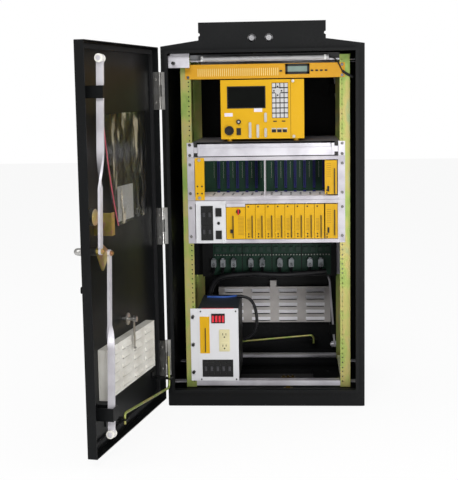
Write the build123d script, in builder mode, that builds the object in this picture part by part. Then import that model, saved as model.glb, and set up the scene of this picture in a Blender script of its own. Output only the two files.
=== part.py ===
from build123d import *
import os
from math import atan2, cos, degrees, hypot, radians, sin, tan

# Roadside controller cabinet for a 19 inch rack, front door open.
# X runs across the front, Y from front to back, Z up. The origin is the centre of the base's underside.
# Millimetres.

# Cabinet body, folded and welded from aluminium sheet
cabinet_width = 609.6
cabinet_depth = 514.35
eave_height = 1108.5
roof_slope = 8.0
body_sheet = 3.2
front_y = -cabinet_depth / 2

# Upright plate above the gable, one with the front sheet
plate_half_width = 190.0
plate_top = 1177.0
relief_radius = 5.0
relief_height = 1141.0

# Raised lip round each door opening, against which the door closes
lip_left = -cabinet_width / 2 + 12.8
lip_right = cabinet_width / 2 - 18.8
lip_bottom = 47.0
lip_top = eave_height - 12.5
lip_depth = 20.0
lip_band = 9.0
lip_sheet = 2.5
lip_corner = 9.0

# Door pans
door_left = -cabinet_width / 2 + 3.8
door_right = cabinet_width / 2 - 14.8
door_bottom = 26.5
door_top = eave_height - 2.8
door_flange = 25.8
door_gap = 4.5
door_sheet = 2.5
open_angle = 101.0

# Hinges
pin_x = -cabinet_width / 2 - 4.2
pin_y = front_y - 5.0
barrel_radius = 5.0
pin_radius = 3.0
hinge_height = 112.0
hinge_heights = (155.5, 568.0, 977.0)
leaf_sheet = 1.9

# Running and seating clearances
clearance = 0.3
running = 0.05

# Rack: 19 inch opening and hole pattern
rack_centre = 6.3
rack_hole_spacing = 465.1
rack_opening = 450.85
panel_width = 482.6
unit = 44.45
hole_in_unit = (6.35, 22.225, 38.1)
rack_top = 773.1
rack_front = front_y + 39.5
rack_rear = front_y + 410.0
rail_bottom = 50.0
rail_length = 1028.0
rail_face = 31.0
rail_leg = 38.0
rail_sheet = 2.3
rail_hole_radius = 2.5
panel_sheet = 2.5

# Three-point latch
shaft_x = door_right - 61.0
shaft_z = 565.0
shaft_radius = 9.5
crank = 36.0
crank_rest = 12.0
crank_pin_radius = 4.0
rod_width = 19.0
rod_sheet = 6.35
roller_radius = 11.0
roller_width = 8.0
upper_rod_length = 489.0
lower_rod_length = 479.0


def span(x, y, z, mode=Mode.ADD):
    """A rectangular bar between pairs of x, y and z, in the piece being built."""
    with Locations(((x[0] + x[1]) / 2, (y[0] + y[1]) / 2, (z[0] + z[1]) / 2)):
        Box(x[1] - x[0], y[1] - y[0], z[1] - z[0], mode=mode)


def from_front(y):
    """The upright plane at a depth y, with x to the right, z up and its normal to the front."""
    return Plane.XZ.offset(-y)


def outline(*points):
    """A closed face through points given in order, in the sketch being built."""
    with BuildLine() as border:
        Polyline(*points, close=True)
    make_face(border.edges())


def panel(left, right, bottom, top, corner=0.0, mode=Mode.ADD):
    """A rectangle between two sides and two heights, with round corners where asked."""
    with Locations(((left + right) / 2, (bottom + top) / 2)):
        if corner > 0:
            RectangleRounded(right - left, top - bottom, corner, mode=mode)
        else:
            Rectangle(right - left, top - bottom, mode=mode)


# Front sheet of the body: gable, upright plate with bend reliefs, and the raised lip round the opening
half_width = cabinet_width / 2
slope = tan(radians(roof_slope))
plate_foot = eave_height + (half_width - plate_half_width) * slope
opening = (lip_left + lip_band, lip_right - lip_band, lip_bottom + lip_band, lip_top - lip_band)
ridge_height = eave_height + half_width * slope
bolt_height = ridge_height - 22.5
bolt_centre = -4.6
bolt_pitch = 51.0
bolt_radius = 6.35
bolt_head_radius = 12.5
bolt_head_height = 6.0

with BuildPart() as front_frame:
    with BuildSketch(from_front(front_y)) as gable_outline:
        outline(
            (-half_width, 0),
            (half_width, 0),
            (half_width, eave_height),
            (plate_half_width, plate_foot),
            (plate_half_width, plate_top),
            (-plate_half_width, plate_top),
            (-plate_half_width, plate_foot),
            (-half_width, eave_height),
        )
        with Locations((plate_half_width, relief_height), (-plate_half_width, relief_height)):
            Circle(relief_radius, mode=Mode.SUBTRACT)
        chamfer(gable_outline.vertices().group_by(Axis.Y)[0], body_sheet)
        panel(*opening, mode=Mode.SUBTRACT)
        with Locations((bolt_centre, bolt_height)):
            with GridLocations(bolt_pitch, 1, 2, 1):
                Circle(bolt_radius + clearance, mode=Mode.SUBTRACT)
    extrude(amount=-body_sheet)
    with BuildSketch(from_front(front_y)):
        panel(lip_left, lip_right, lip_bottom, lip_top, lip_corner)
        panel(
            lip_left + lip_sheet,
            lip_right - lip_sheet,
            lip_bottom + lip_sheet,
            lip_top - lip_sheet,
            lip_corner - lip_sheet,
            Mode.SUBTRACT,
        )
    extrude(amount=lip_depth)
    with BuildSketch(from_front(front_y - lip_depth)):
        panel(lip_left, lip_right, lip_bottom, lip_top, lip_corner)
        panel(*opening, lip_sheet, Mode.SUBTRACT)
    extrude(amount=-lip_sheet)
front_frame.part.label = "front_frame"

with BuildPart() as rear_frame:
    mirror(front_frame.part, about=Plane.XZ)
rear_frame.part.label = "rear_frame"

# Side walls, roof and base pan between the two frames
wall_y = cabinet_depth / 2 - body_sheet
roof_drop = body_sheet / cos(radians(roof_slope))

with BuildPart() as left_wall:
    with BuildSketch(from_front(-wall_y)):
        outline(
            (-half_width, 0),
            (-half_width + body_sheet, 0),
            (-half_width + body_sheet, eave_height - roof_drop + body_sheet * slope),
            (-half_width, eave_height - roof_drop),
        )
    extrude(amount=-2 * wall_y)
left_wall.part.label = "left_wall"

with BuildPart() as right_wall:
    mirror(left_wall.part, about=Plane.YZ)
right_wall.part.label = "right_wall"

with BuildPart() as roof:
    with BuildSketch(from_front(-wall_y)):
        outline(
            (-half_width, eave_height),
            (-half_width, eave_height - roof_drop),
            (0, ridge_height - roof_drop),
            (half_width, eave_height - roof_drop),
            (half_width, eave_height),
            (0, ridge_height),
        )
    extrude(amount=-2 * wall_y)
roof.part.label = "roof"

# Base pan with four anchor holes and the flanged cable opening
anchor_x = 406.4
anchor_y = 330.2
anchor_radius = 9.5
cable_opening = (300.0, 150.0)
cable_opening_y = 60.0
cable_flange = 12.0

with BuildPart() as base_pan:
    with BuildSketch(Plane.XY):
        Rectangle(cabinet_width - 2 * body_sheet, 2 * wall_y)
        with Locations((0, cable_opening_y)):
            Rectangle(*cable_opening, mode=Mode.SUBTRACT)
        with GridLocations(anchor_x, anchor_y, 2, 2):
            Circle(anchor_radius, mode=Mode.SUBTRACT)
    extrude(amount=body_sheet)
    with BuildSketch(Plane.XY.offset(body_sheet)):
        with Locations((0, cable_opening_y)):
            Rectangle(cable_opening[0] + 2 * lip_sheet, cable_opening[1] + 2 * lip_sheet)
            Rectangle(*cable_opening, mode=Mode.SUBTRACT)
    extrude(amount=cable_flange)
base_pan.part.label = "base_pan"

# Carriage bolts through the front and rear sheets, with nuts on the ridge channel's end tabs
channel_sheet = 3.0
channel_tab = 38.0
nut_across = 19.0
nut_height = 8.0

with BuildPart() as roof_bolts:
    with Locations(from_front(front_y)):
        with Locations((bolt_centre, bolt_height)):
            with GridLocations(bolt_pitch, 1, 2, 1) as places:
                bolt_places = places.local_locations
    with BuildSketch(from_front(front_y)):
        with Locations((bolt_centre, bolt_height)):
            with GridLocations(bolt_pitch, 1, 2, 1):
                Circle(bolt_head_radius)
    extrude(amount=bolt_head_height, taper=38)
    with BuildSketch(from_front(front_y)):
        with Locations((bolt_centre, bolt_height)):
            with GridLocations(bolt_pitch, 1, 2, 1):
                Circle(bolt_radius)
    extrude(amount=-(body_sheet + channel_sheet + nut_height + 4))
    with BuildSketch(from_front(front_y + body_sheet + channel_sheet)):
        with Locations((bolt_centre, bolt_height)):
            with GridLocations(bolt_pitch, 1, 2, 1):
                RegularPolygon(nut_across / 2, 6, major_radius=False)
    extrude(amount=-nut_height)
    mirror(about=Plane.XZ)
roof_bolts.part.label = "roof_bolts"

# Rack rails: angle sections with the three-hole pattern in each unit
rail_inner = rack_opening / 2
rail_outer = rail_inner + rail_face
rail_top = rail_bottom + rail_length
hole_rows = [
    rack_top - (row + 1) * unit + offset
    for row in range(-7, 17)
    for offset in hole_in_unit
    if rail_bottom + 8 < rack_top - (row + 1) * unit + offset < rail_top - 8
]

with BuildPart() as front_rails:
    for side in (-1, 1):
        face_x = sorted((rack_centre + side * rail_inner, rack_centre + side * rail_outer))
        leg_x = sorted((rack_centre + side * rail_outer, rack_centre + side * (rail_outer - rail_sheet)))
        span(face_x, (rack_front, rack_front + rail_sheet), (rail_bottom, rail_top))
        span(leg_x, (rack_front, rack_front + rail_leg), (rail_bottom, rail_top))
    with BuildSketch(from_front(rack_front)):
        with Locations(*[(rack_centre + side * rack_hole_spacing / 2, row) for side in (-1, 1) for row in hole_rows]):
            RegularPolygon(rail_hole_radius, 6)
    extrude(amount=-rail_sheet, mode=Mode.SUBTRACT)
front_rails.part.label = "front_rails"

field_y = front_y + 330.0
field_z = (359.0, 463.0)
board_sheet = 1.6
plate_y = field_y + board_sheet

with BuildPart() as rear_rails:
    for side in (-1, 1):
        face_x = sorted((rack_centre + side * rail_inner, rack_centre + side * rail_outer))
        leg_x = sorted((rack_centre + side * rail_outer, rack_centre + side * (rail_outer - rail_sheet)))
        span(face_x, (rack_rear - rail_sheet, rack_rear), (rail_bottom, rail_top))
        span(leg_x, (rack_rear - rail_leg, rack_rear), (rail_bottom, rail_top))
    # Mounting plate for the field boards, cranked back at both ends to the rails
    plate_x = (rack_centre - rail_inner + clearance, rack_centre + rail_inner - clearance)
    plate_z = (field_z[0] - 6, field_z[1] + 6)
    span(plate_x, (plate_y, plate_y + 2), plate_z)
    for side, end in ((-1, plate_x[0]), (1, plate_x[1])):
        flange = sorted((end, end - side * 2))
        ear = sorted((end - side * 2, rack_centre + side * rail_outer))
        span(flange, (plate_y, rack_rear - rail_leg), plate_z)
        span(ear, (rack_rear - rail_leg - 2, rack_rear - rail_leg), plate_z)
rear_rails.part.label = "rear_rails"

# Aluminium angles that join the rails into a cage, the brackets that hold it to the walls,
# and the channel along the ridge
brace_height = 16.0
brace_depth = 30.0
brace_sheet = 2.5
brace_levels = (54.4, rail_top - brace_height)
wall_inner = half_width - body_sheet
side_channel_y = (rack_front + rail_leg + clearance, rack_rear - rail_leg - clearance)

with BuildPart() as cage_braces:
    for level in brace_levels:
        brace_x = (rack_centre - rail_inner + clearance, rack_centre + rail_inner - clearance)
        for face, back in ((rack_front, rack_front + brace_depth), (rack_rear, rack_rear - brace_depth)):
            web = sorted((face, face + (brace_sheet if back > face else -brace_sheet)))
            span(brace_x, web, (level, level + brace_height))
            span(brace_x, sorted((face, back)), (level + brace_height - brace_sheet, level + brace_height))
        for side in (-1, 1):
            web = sorted((rack_centre + side * rail_outer, rack_centre + side * (rail_outer - brace_sheet)))
            ledge = sorted((rack_centre + side * rail_outer, rack_centre + side * (rail_outer - brace_depth)))
            span(web, side_channel_y, (level, level + brace_height))
            span(ledge, side_channel_y, (level + brace_height - brace_sheet, level + brace_height))
            wall = sorted((rack_centre + side * rail_outer, side * wall_inner))
            for y in side_channel_y:
                tab = sorted((y, y + (brace_depth if y < 0 else -brace_depth)))
                span(wall, tab, (level, level + brace_sheet))
    channel_y = cabinet_depth / 2 - body_sheet
    channel_x = (bolt_centre - bolt_pitch / 2 - 16, bolt_centre + bolt_pitch / 2 + 16)
    channel_top = bolt_height + nut_across / 2
    channel_foot = channel_top - channel_tab
    for y in ((-channel_y, -channel_y + channel_sheet), (channel_y - channel_sheet, channel_y)):
        span(channel_x, y, (channel_foot, channel_top))
    span(channel_x, (-channel_y, channel_y), (channel_foot, channel_foot + channel_sheet))
    with BuildSketch(from_front(front_y)):
        with Locations((bolt_centre, bolt_height)):
            with GridLocations(bolt_pitch, 1, 2, 1):
                Circle(bolt_radius + clearance)
    extrude(amount=-cabinet_depth, mode=Mode.SUBTRACT)
cage_braces.part.label = "cage_braces"

# Lamp: channel across the rails under the top brace, with a tube between two end caps
lamp_x = (rack_centre - rail_inner + clearance, rack_centre + rail_inner - clearance)
lamp_z = (1065.5, 1083.5)
lamp_y = (rack_front - 8.0, rack_front)
tube_x = (-176.0, 190.0)
tube_radius = 6.5
tube_z = lamp_z[0] + 4.5
tube_y = lamp_y[0] - tube_radius - 1.0

with BuildPart() as lamp_housing:
    with BuildSketch(Plane.YZ.offset(lamp_x[0])):
        panel(lamp_y[0], lamp_y[1], lamp_z[0], lamp_z[1])
        panel(lamp_y[0] - 1, lamp_y[1] - 1.5, lamp_z[0] + 1.5, lamp_z[1] - 1.5, mode=Mode.SUBTRACT)
    extrude(amount=lamp_x[1] - lamp_x[0])
lamp_housing.part.label = "lamp_housing"

with BuildPart() as lamp_tube:
    with BuildSketch(Plane.YZ.offset(tube_x[0])):
        with Locations((tube_y, tube_z)):
            Circle(tube_radius)
    extrude(amount=tube_x[1] - tube_x[0])
    for x in (tube_x[0] - 9, tube_x[1]):
        with BuildSketch(Plane.YZ.offset(x)):
            with Locations((tube_y, tube_z)):
                Circle(tube_radius + 1)
        extrude(amount=9)
lamp_tube.part.label = "lamp_tube"

# Switch bracket in the opening's top left corner, with the door switch's plunger in its first hole
bracket_x = (opening[0] + 0.5, -219.0)
bracket_z = (1044.5, opening[3] - 0.5)
bracket_y = front_y + 6.0
bracket_sheet = 2.0
bracket_step = 6.0
bracket_ledge = (rail_top - 8.0, rail_top - 6.0)
plunger_x = -266.0
plunger_z = 1058.0
plunger_radius = 5.0
plunger_travel = 8.0
plunger_reach = 30.0

with BuildPart() as switch_bracket:
    with BuildSketch(from_front(bracket_y)) as bracket_face:
        outline(
            (bracket_x[0], bracket_z[0]),
            (bracket_x[1], bracket_z[0]),
            (bracket_x[1], bracket_z[1]),
            (bracket_x[0] + bracket_step, bracket_z[1]),
            (bracket_x[0] + bracket_step, bracket_z[1] - bracket_step),
            (bracket_x[0], bracket_z[1] - bracket_step),
        )
        with Locations((plunger_x, plunger_z), (plunger_x + 19, plunger_z), (plunger_x + 37, plunger_z)):
            Circle(plunger_radius + running, mode=Mode.SUBTRACT)
    extrude(amount=-bracket_sheet)
    span((bracket_x[0] + bracket_step, bracket_x[1]), (bracket_y, rack_front), bracket_ledge)
    with Locations(from_front(bracket_y + bracket_sheet).offset(-7)):
        with Locations((plunger_x + 28, plunger_z)):
            Box(30, 14, 14)
switch_bracket.part.label = "switch_bracket"

with BuildPart() as door_switch:
    with BuildSketch(from_front(bracket_y - plunger_reach)):
        with Locations((plunger_x, plunger_z)):
            Circle(plunger_radius)
    extrude(amount=-(plunger_reach + 12))
    chamfer(door_switch.edges().filter_by(GeomType.CIRCLE).group_by(Axis.Y)[0], 2)
door_switch.part.label = "door_switch"


def mount_slots(rows, sides=(-1, 1)):
    """Screw slots through a rack panel's ears, in the sketch being built."""
    with Locations(*[(rack_centre + side * rack_hole_spacing / 2, row) for side in sides for row in rows]):
        Circle(screw_radius + clearance, mode=Mode.SUBTRACT)


screw_radius = 2.4
screw_head_radius = 4.6
screw_head = 3.0
panel_front = rack_front - panel_sheet
panel_left = rack_centre - panel_width / 2
panel_right = rack_centre + panel_width / 2

# One-unit display panel with a shallow chassis behind it
display_z = (1009.8, 1053.5)
display_rows = ((display_z[0] + display_z[1]) / 2 - 15.875, (display_z[0] + display_z[1]) / 2 + 15.875)
display_depth = 120.0
lamp_slots = 40
lamp_slot_x = (-196.0, 46.0)
lamp_slot_z = (1018.0, 1041.0)
screen_opening = (71.0, 139.0, 1024.0, 1049.5)
display_buttons = (149.0, 163.0, 177.0, 191.0, 55.0)
button_z = 1031.0

with BuildPart() as display_panel:
    with BuildSketch(from_front(panel_front)):
        panel(panel_left, panel_right, *display_z)
        mount_slots(display_rows)
        panel(*screen_opening, mode=Mode.SUBTRACT)
    extrude(amount=-panel_sheet)
    chassis = rack_opening / 2 - 4
    with BuildSketch(from_front(rack_front)):
        panel(rack_centre - chassis, rack_centre + chassis, display_z[0] + 1, display_z[1] - 1)
        panel(
            rack_centre - chassis + 1.5,
            rack_centre + chassis - 1.5,
            display_z[0] + 2.5,
            display_z[1] - 2.5,
            mode=Mode.SUBTRACT,
        )
    extrude(amount=-display_depth)
    slot_pitch = (lamp_slot_x[1] - lamp_slot_x[0]) / (lamp_slots - 1)
    with BuildSketch(from_front(panel_front)):
        with Locations(((lamp_slot_x[0] + lamp_slot_x[1]) / 2, (lamp_slot_z[0] + lamp_slot_z[1]) / 2)):
            with GridLocations(slot_pitch, 1, lamp_slots, 1):
                Rectangle(2.2, lamp_slot_z[1] - lamp_slot_z[0])
    extrude(amount=-0.6, mode=Mode.SUBTRACT)
display_panel.part.label = "display_panel"

# Controller standing on the drawer's cover
controller_x = (-129.0, 124.7)
controller_z = (827.4, 1006.2)
controller_depth = 190.0
controller_front = panel_front
screen_x = (-106.0, 5.0)
screen_z = (923.0, 984.0)
keypad_x = (27.0, 76.5)
keypad_z = (889.5, 996.0)
key_columns = 4
key_rows = 7
foot_radius = 8.0
shelf_top = 819.5

with BuildPart() as controller_case:
    with BuildSketch(from_front(controller_front)):
        panel(*controller_x, *controller_z, 2.0)
    extrude(amount=-controller_depth)
    fillet(controller_case.faces().sort_by(Axis.Y)[0].edges(), 0.8)
    with BuildSketch(from_front(controller_front)):
        panel(*screen_x, *screen_z)
        panel(*keypad_x, *keypad_z)
        panel(83.4, 84.6, controller_z[0] + 3, controller_z[1] - 3)
    extrude(amount=-1.5, mode=Mode.SUBTRACT)
    foot_places = [
        (x, y)
        for x in (controller_x[0] + 25, controller_x[1] - 25)
        for y in (controller_front + 25, controller_front + controller_depth - 25)
    ]
    with BuildSketch(Plane.XY.offset(shelf_top + clearance)):
        with Locations(*foot_places):
            Circle(foot_radius)
    extrude(amount=controller_z[0] - shelf_top - clearance)
controller_case.part.label = "controller_case"

with BuildPart() as display_windows:
    with BuildSketch(from_front(panel_front + 0.4)):
        panel(*screen_opening)
    extrude(amount=-(panel_sheet + 4))
    with BuildSketch(from_front(controller_front + 0.5)):
        panel(*screen_x, *screen_z)
    extrude(amount=-1.0)
display_windows.part.label = "display_windows"

with BuildPart() as keys:
    key_pitch_x = (keypad_x[1] - keypad_x[0]) / key_columns
    key_pitch_z = (keypad_z[1] - keypad_z[0]) / key_rows
    with BuildSketch(from_front(controller_front + 0.5)):
        panel(*keypad_x, *keypad_z)
    extrude(amount=-1.0)
    with BuildSketch(from_front(controller_front + 0.5)):
        with Locations(((keypad_x[0] + keypad_x[1]) / 2, (keypad_z[0] + keypad_z[1]) / 2)):
            with GridLocations(key_pitch_x, key_pitch_z, key_columns, key_rows):
                Rectangle(key_pitch_x - 2.6, key_pitch_z - 3.2)
    extrude(amount=2.0)
    with BuildSketch(from_front(panel_front)):
        with Locations(*[(x, button_z) for x in display_buttons]):
            Rectangle(8, 4.5)
    extrude(amount=2.0)
keys.part.label = "keys"

# Sockets and controls on the controller's face
socket_bars = (
    (-40.0, 854.0, 8.0, 48.0),
    (-16.5, 851.0, 8.0, 40.0),
    (7.5, 892.0, 8.0, 28.0),
    (7.5, 846.0, 8.0, 28.0),
)
network_x = (32.5, 49.0, 65.5)
network_z = 853.0
round_socket = (-103.5, 853.5)
fuse_place = (-74.5, 880.0)
rocker_place = (-74.5, 850.5)
thumb_places = ((91.0, 1000.5), (93.0, 834.0))

with BuildPart() as controller_sockets:
    for x, z, width, height in socket_bars:
        with BuildSketch(from_front(controller_front)):
            with Locations((x, z)):
                RectangleRounded(width, height, 3)
        extrude(amount=5)
    with BuildSketch(from_front(controller_front)):
        with Locations(*[(x, network_z) for x in network_x]):
            Rectangle(14, 13)
            with Locations((0, -1)):
                Rectangle(10, 8, mode=Mode.SUBTRACT)
    extrude(amount=1.5)
    with BuildSketch(from_front(controller_front)):
        with Locations(round_socket):
            Circle(14)
            Circle(10.5, mode=Mode.SUBTRACT)
    extrude(amount=8)
    with BuildSketch(from_front(controller_front)):
        with Locations(round_socket):
            Circle(10.5)
    extrude(amount=2)
    with BuildSketch(from_front(controller_front)):
        with Locations(fuse_place):
            Circle(7)
    extrude(amount=9)
    with BuildSketch(from_front(controller_front)):
        with Locations(rocker_place):
            Rectangle(13, 21)
    extrude(amount=4)
    with BuildSketch(from_front(controller_front)):
        with Locations(*thumb_places):
            Circle(4.5)
    extrude(amount=6)
controller_sockets.part.label = "controller_sockets"

# Drawer: fixed runner frame with a cover, and a tray that slides out to the front
drawer_z = (rack_top + 0.5, rack_top + unit)
drawer_rows = (rack_top + hole_in_unit[0], rack_top + hole_in_unit[2])
drawer_depth = 360.0
runner_width = 12.0
drawer_travel = 280.0
tray_half = rack_opening / 2 - runner_width - 4

with BuildPart() as drawer_runners:
    with BuildSketch(from_front(panel_front)):
        panel(panel_left, panel_right, *drawer_z)
        panel(
            rack_centre - rack_opening / 2 + 4,
            rack_centre + rack_opening / 2 - 4,
            drawer_z[0] - 1,
            drawer_z[1] + 1,
            mode=Mode.SUBTRACT,
        )
        mount_slots(drawer_rows)
    extrude(amount=-panel_sheet)
    for side in (-1, 1):
        outer = rack_centre + side * (rack_opening / 2 - 2)
        inner = rack_centre + side * (rack_opening / 2 - 2 - runner_width)
        channel = sorted((outer, inner))
        with BuildSketch(from_front(rack_front)):
            panel(*channel, drawer_z[0] + 2, shelf_top - 1.5)
            groove = sorted((inner, inner + side * (runner_width - 3)))
            panel(*groove, drawer_z[0] + 12, drawer_z[0] + 30, mode=Mode.SUBTRACT)
        extrude(amount=-drawer_depth)
    span(
        (rack_centre - rack_opening / 2 + 2, rack_centre + rack_opening / 2 - 2),
        (rack_front, rack_front + drawer_depth),
        (shelf_top - 1.5, shelf_top),
    )
drawer_runners.part.label = "drawer_runners"

tray_z = (drawer_z[0] + 2.5, drawer_z[1] - 5)
slide_z = (drawer_z[0] + 12 + clearance, drawer_z[0] + 30 - clearance)
tray_front = rack_front - 5.0
with BuildPart() as drawer_tray:
    tray_x = (rack_centre - tray_half, rack_centre + tray_half)
    with BuildSketch(from_front(tray_front + 8)):
        panel(*tray_x, *tray_z)
    extrude(amount=-(drawer_depth - 12))
    with BuildSketch(Plane.XY.offset(tray_z[1])):
        with Locations((rack_centre, (tray_front + rack_front + drawer_depth - 4) / 2 + 4)):
            Rectangle(2 * tray_half - 4, drawer_depth - 24)
    extrude(amount=-(tray_z[1] - tray_z[0] - 2), mode=Mode.SUBTRACT)
    with BuildSketch(from_front(tray_front)):
        panel(tray_x[0] + 3, tray_x[1] - 3, tray_z[0], tray_z[0] + 24)
    extrude(amount=-8)
    for x in (tray_x[0] + 3, tray_x[1] - 9):
        span((x, x + 6), (tray_front - 4, tray_front + 8), tray_z)
    for side in (-1, 1):
        bar = sorted((rack_centre + side * tray_half, rack_centre + side * (rack_opening / 2 - 5 - clearance)))
        span(bar, (rack_front + 2, rack_front + drawer_depth - 4), slide_z)
drawer_tray.part.label = "drawer_tray"

# Card racks: ears, side plates, front rails and slotted decks
rack_units = 3
card_rack_depth = 165.0
rack_rail_height = 11.0
slot_count = 12
rack_inner = rack_opening / 2 - 4


def card_rack(top):
    """One three-unit card rack hanging from the height of its top edge."""
    bottom = top - rack_units * unit + 0.8
    rows = (bottom - 0.8 + hole_in_unit[1], top - unit + hole_in_unit[1])
    with BuildSketch(from_front(panel_front)) as ears:
        panel(panel_left, panel_right, bottom, top)
        panel(rack_centre - rack_inner, rack_centre + rack_inner, bottom - 1, top + 1, mode=Mode.SUBTRACT)
        mount_slots(rows)
    extrude(ears.sketch, amount=-panel_sheet)
    for x in (rack_centre - rack_inner, rack_centre + rack_inner - 2):
        span((x, x + 2), (panel_front, rack_front + card_rack_depth), (bottom, top))
    inner = (rack_centre - rack_inner + 2, rack_centre + rack_inner - 2)
    for z in ((bottom, bottom + rack_rail_height), (top - rack_rail_height, top)):
        span(inner, (panel_front, panel_front + 10), z)
    for z in (bottom + rack_rail_height - 2, top - rack_rail_height):
        with BuildSketch(Plane.XY.offset(z)) as deck:
            with Locations((rack_centre, rack_front + (7.5 + card_rack_depth) / 2)):
                Rectangle(inner[1] - inner[0], card_rack_depth - 7.5)
                with GridLocations(30.3, 46, slot_count, 2):
                    Rectangle(6, 34, mode=Mode.SUBTRACT)
        extrude(deck.sketch, amount=2)


with BuildPart() as upper_rack:
    card_rack(rack_top)
    span((0.6, 3.2), (panel_front + 11, rack_front + 120), (rack_top - 121, rack_top - 12))
upper_rack.part.label = "upper_rack"

with BuildPart() as lower_rack:
    card_rack(rack_top - rack_units * unit)
lower_rack.part.label = "lower_rack"

# Green circuit boards: the upper rack's backplane and the four field boards below the lower rack
backplane_y = rack_front + card_rack_depth + clearance
field_x = (-183.0, 216.0)
field_gap = 3.0

with BuildPart() as circuit_boards:
    for top in (rack_top, rack_top - rack_units * unit):
        span(
            (rack_centre - rack_inner, rack_centre + rack_inner),
            (backplane_y, backplane_y + board_sheet),
            (top - rack_units * unit + 3, top - 3),
        )
    field_width = (field_x[1] - field_x[0]) / 4
    for index in range(4):
        left = field_x[0] + index * field_width
        span((left, left + field_width - field_gap), (field_y, field_y + board_sheet), field_z)
circuit_boards.part.label = "circuit_boards"

with BuildPart() as card_connectors:
    connector_x = [-150.0 + 30.3 * index for index in range(5)]
    connector_x += [34.6 + 30.3 * index for index in range(6)]
    with BuildSketch(from_front(backplane_y - clearance)):
        with Locations(*[(x, rack_top - 66) for x in connector_x]):
            Rectangle(8.5, 88)
            Rectangle(2.4, 80, mode=Mode.SUBTRACT)
    extrude(amount=11)
    with BuildSketch(from_front(backplane_y - clearance)):
        with Locations(*[(x, rack_top - 66) for x in connector_x]):
            Rectangle(2.4, 80)
    extrude(amount=3)
card_connectors.part.label = "card_connectors"

# Plug-in modules: yellow front plates with their boards behind
lower_top = rack_top - rack_units * unit
module_z = (lower_top - rack_units * unit + 13.5, lower_top - 13.5)
module_pitch = 30.2
module_front = panel_front - 2.0
narrow_modules = [(-57.2 + module_pitch * index, -57.2 + module_pitch * (index + 1) - 1.2) for index in range(8)]
wide_modules = [(-117.2, -58.7), (187.0, 224.6)]
upper_modules = [
    (-211.5, -182.5, rack_top - rack_units * unit + 1.6, rack_top - 2.0),
    (186.0, 223.2, rack_top - 117.0, rack_top - 13.5),
]

with BuildPart() as rack_modules:
    for left, right in narrow_modules + wide_modules:
        top = module_z[1] - (8 if left == wide_modules[0][0] else 0)
        span((left, right), (module_front, module_front + 2), (module_z[0], top))
        span((left + 5, left + 6.6), (module_front, backplane_y), (module_z[0] + 2, top - 2))
    for left, right, bottom, top in upper_modules:
        span((left, right), (module_front, module_front + 2), (bottom, top))
    span((upper_modules[0][0] + 14, upper_modules[0][0] + 15.6), (module_front, backplane_y), (655, 752))
    span((upper_modules[1][0] + 5, upper_modules[1][0] + 6.6), (module_front, backplane_y), (660, 755))
rack_modules.part.label = "rack_modules"

# Black pulls, sockets and the key on the modules
with BuildPart() as module_pulls:
    for left, right in narrow_modules:
        span((left + 18.5, left + 21), (module_front - 7, module_front), (module_z[0] + 4, module_z[1] - 34))
    span((-97.6, -95.0), (module_front - 7, module_front), (module_z[0] + 4, module_z[1] - 34))
    for top, shift in ((module_z[1] - 12, 0), (rack_top - 32, 0)):
        span((214.0, 216.6), (module_front - 7, module_front), (top - 84, top - 6))
        span((193.5, 199.0), (module_front - 5, module_front), (top - 76, top - 60))
    span((-105.0, -97.0), (module_front - 5, module_front), (module_z[0] + 19, module_z[0] + 30))
    with BuildSketch(from_front(module_front)):
        with Locations((-79.5, module_z[1] - 21)):
            Circle(7)
    extrude(amount=4)
module_pulls.part.label = "module_pulls"

# Service panel at the left of the lower rack
service_x = (-211.0, -118.6)
service_z = (lower_top - rack_units * unit + 1.5, lower_top - 1.5)

with BuildPart() as service_panel:
    with BuildSketch(from_front(module_front)):
        panel(*service_x, *service_z)
    extrude(amount=-2)
    span((service_x[0] + 3, service_x[0] + 5), (module_front, backplane_y), (service_z[0] + 14, service_z[1] - 14))
    with BuildSketch(from_front(module_front)):
        with Locations((-125.5, service_z[0] + 4.5), (-125.5, service_z[1] - 4.5)):
            Circle(4.6)
    extrude(amount=5)
service_panel.part.label = "service_panel"

# Power unit at the lower left: case, white front with its ear, outlet and breakers
power_x = (-212.0, -85.0)
power_z = (brace_levels[0] + brace_height + clearance, 301.5)
power_depth = 245.0
power_rows = (277.8, 188.9, 100.0)

with BuildPart() as power_case:
    with BuildSketch(from_front(rack_front)):
        panel(power_x[0] + 0.5, power_x[1] - 0.5, *power_z)
    extrude(amount=-power_depth)
    chamfer(power_case.edges().filter_by(Axis.X).group_by(Axis.Z)[-1].sort_by(Axis.Y)[-1], 14)
power_case.part.label = "power_case"

with BuildPart() as power_panel:
    with BuildSketch(from_front(panel_front)):
        panel(panel_left, power_x[1], *power_z)
        mount_slots(power_rows, (-1,))
    extrude(amount=-panel_sheet)
    with BuildSketch(from_front(panel_front)):
        panel(power_x[0], power_x[1], *power_z)
    extrude(amount=0.8)
power_panel.part.label = "power_panel"

power_face = panel_front - 0.8
with BuildPart() as duplex_outlet:
    with BuildSketch(from_front(power_face)):
        panel(-146.0, -112.5, 165.0, 235.0, 2)
    extrude(amount=1.5)
    with BuildSketch(from_front(power_face - 1.5)):
        for z in (182.0, 218.0):
            with Locations((-129.3, z)):
                RectangleRounded(27, 25, 6)
                with Locations((-5, 2), (5, 2)):
                    Rectangle(2, 7, mode=Mode.SUBTRACT)
                with Locations((0, -7)):
                    Circle(2.4, mode=Mode.SUBTRACT)
    extrude(amount=1.5)
duplex_outlet.part.label = "duplex_outlet"

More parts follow.
